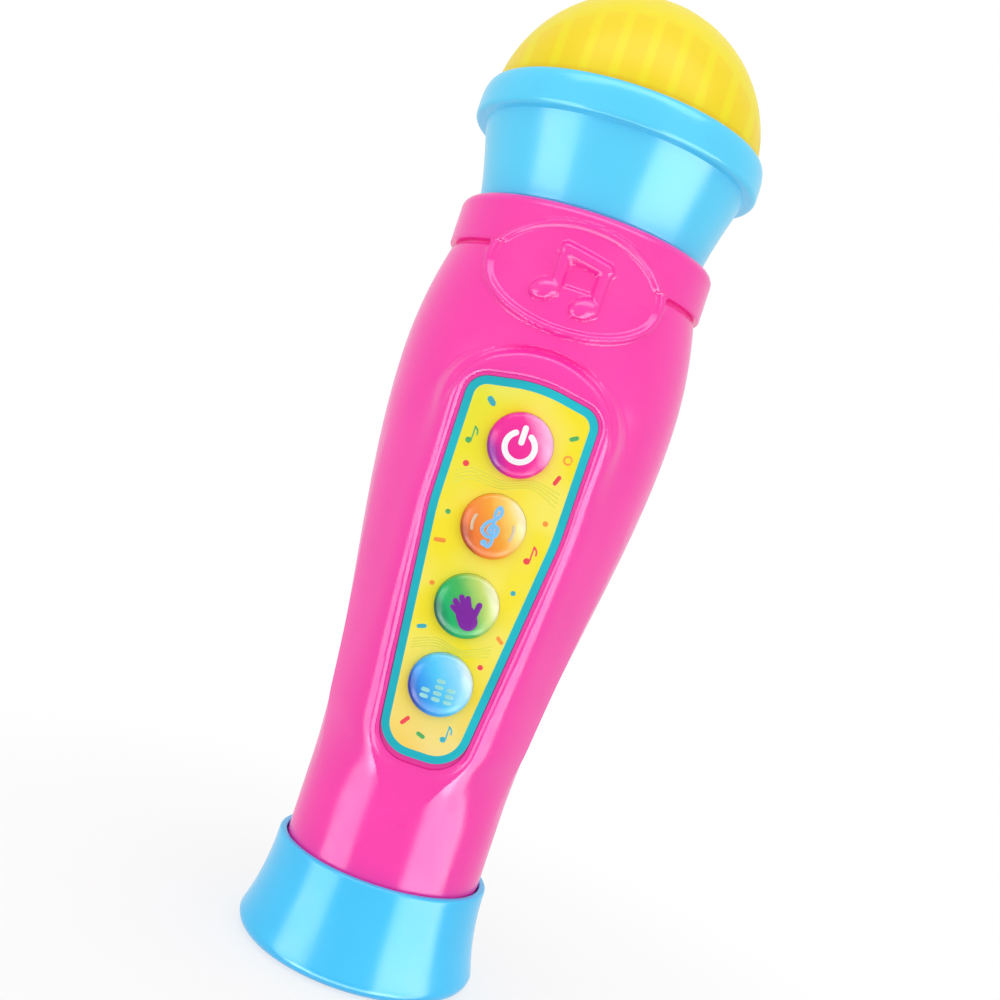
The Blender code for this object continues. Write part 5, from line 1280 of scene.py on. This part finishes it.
# inner pieces that stay as they are get their finishes
keptFinishes = {
    "circuit_board": mouldedPlastic("boardGreen", (0.015, 0.16, 0.05), 0.35, 0.25),
    "sound_chip": mouldedPlastic("blackEpoxy", (0.012, 0.012, 0.013), 0.22, 0.2),
    "speaker_cone": mouldedPlastic("conePaper", (0.035, 0.034, 0.033), 0.8, 0.3, 0.3),
    "lamp": mouldedPlastic("lampClear", (0.85, 0.86, 0.88), 0.1, 0.03),
    "red": mouldedPlastic("wireRed", (0.55, 0.02, 0.02), 0.4, 0.1),
    "black": mouldedPlastic("wireBlack", (0.015, 0.015, 0.016), 0.4, 0.2)}
keptFinishes["lamp_board"] = keptFinishes["circuit_board"]
keptFinishes["capacitor"] = keptFinishes["sound_chip"]
keptFinishes["battery_tray"] = trayPlastic
for name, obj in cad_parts.items():
    if name in keptFinishes:
        finish = keptFinishes[name]
    elif name.startswith("lamp_") and name[5:].isdigit():
        finish = keptFinishes["lamp"]
    elif "wire" in name:
        finish = keptFinishes["red" if name.endswith("red") else "black"]
    elif name.startswith(("board_screw", "bridge", "contact_", "speaker_", "shell_screw")):
        finish = platedSteel
    else:
        continue
    for place in obj.material_slots:
        place.material = finish
print("finishes given")

# floor, lamps and world
ground = {"size": 8.0, "drop": 0.0002, "shade": 0.86, "whiteNear": 0.72, "near": 0.03, "far": 0.16,
          "world": 0.88}
lamps = {                     # turn, distance, height, width, tall, radiance, height aimed at, gloss only
    "rightStrip": (54.5, 0.55, -0.325, 0.54, 0.95, 7.0, -0.325, True),
    "leftStrip": (-53, 0.55, -0.325, 0.34, 0.95, 5.6, -0.325, True),
    "above": (0, 0.30, 0.65, 1.0, 0.25, 4.0, 0.105, True),
    "below": (0, 0.30, -0.40, 0.9, 0.22, 8.0, 0.105, True),
    "key": (35, 0.80, 0.45, 0.6, 0.6, 0.75, 0.105, False),
    "fill": (-40, 0.80, 0.25, 0.6, 0.6, 0.60, 0.105, False),
    "top": (0, 0.25, 0.80, 0.6, 0.6, 0.40, 0.105, False)}
deselect()
bpy.ops.mesh.primitive_plane_add(size=ground["size"], location=(0, 0, -ground["drop"]))
floor = named("floor")


def mixShaders(tree, factor, first, second):
    mixed = node(tree, "ShaderNodeMixShader")
    for socket, source in zip(mixed.inputs, (factor, first, second)):
        tree.links.new(source, socket)
    return mixed.outputs[0]


finish, tree, shader = newFinish("paleFloor")
tree.nodes.remove(shader)
far = node(tree, "ShaderNodeVectorMath", operation="LENGTH")
tree.links.new(objectPlace(tree), far.inputs[0])
matte = put(node(tree, "ShaderNodeBsdfDiffuse"), {"Color": (*[ground["shade"]] * 3, 1)}).outputs[0]
white = put(node(tree, "ShaderNodeEmission"), {"Strength": 1.0}).outputs[0]
whiter = rangeOf(tree, far.outputs["Value"], ground["whiteNear"], 1.0, ground["near"], ground["far"])
seen = node(tree, "ShaderNodeLightPath").outputs["Is Camera Ray"]
shown = mixShaders(tree, seen, matte, mixShaders(tree, whiter, matte, white))
tree.links.new(shown, tree.nodes["Material Output"].inputs["Surface"])
give(floor, finish)
floor.visible_glossy = False

world = bpy.data.worlds.new("studio")
scene.world = world
world.use_nodes = True
tree = world.node_tree
backdrop = put(tree.nodes["Background"], {"Color": (1, 1, 1, 1)})
seen = node(tree, "ShaderNodeLightPath").outputs["Is Camera Ray"]
tree.links.new(rangeOf(tree, seen, ground["world"], 1.0, 0.0, 1.0), backdrop.inputs["Strength"])


def areaLamp(name, turn, distance, height, width, tall, radiance, aim, glossOnly):
    spot = Vector((math.sin(math.radians(turn)) * distance, -math.cos(math.radians(turn)) * distance, height))
    deselect()
    bpy.ops.object.light_add(type="AREA", location=spot)
    lamp = bpy.context.object
    lamp.name = name
    lamp.data.shape = "RECTANGLE"
    lamp.data.size = width
    lamp.data.size_y = tall
    lamp.data.energy = radiance * math.pi * width * tall
    lamp.rotation_euler = (Vector((0, 0, aim)) - spot).to_track_quat("-Z", "Y").to_euler()
    lamp.visible_camera = False
    lamp.visible_diffuse = not glossOnly
    lamp.visible_glossy = glossOnly
    lamp.visible_transmission = False


for name, settings in lamps.items():
    areaLamp(name, *settings)
scene.view_settings.view_transform = "Standard"
print("floor, lamps and world set")
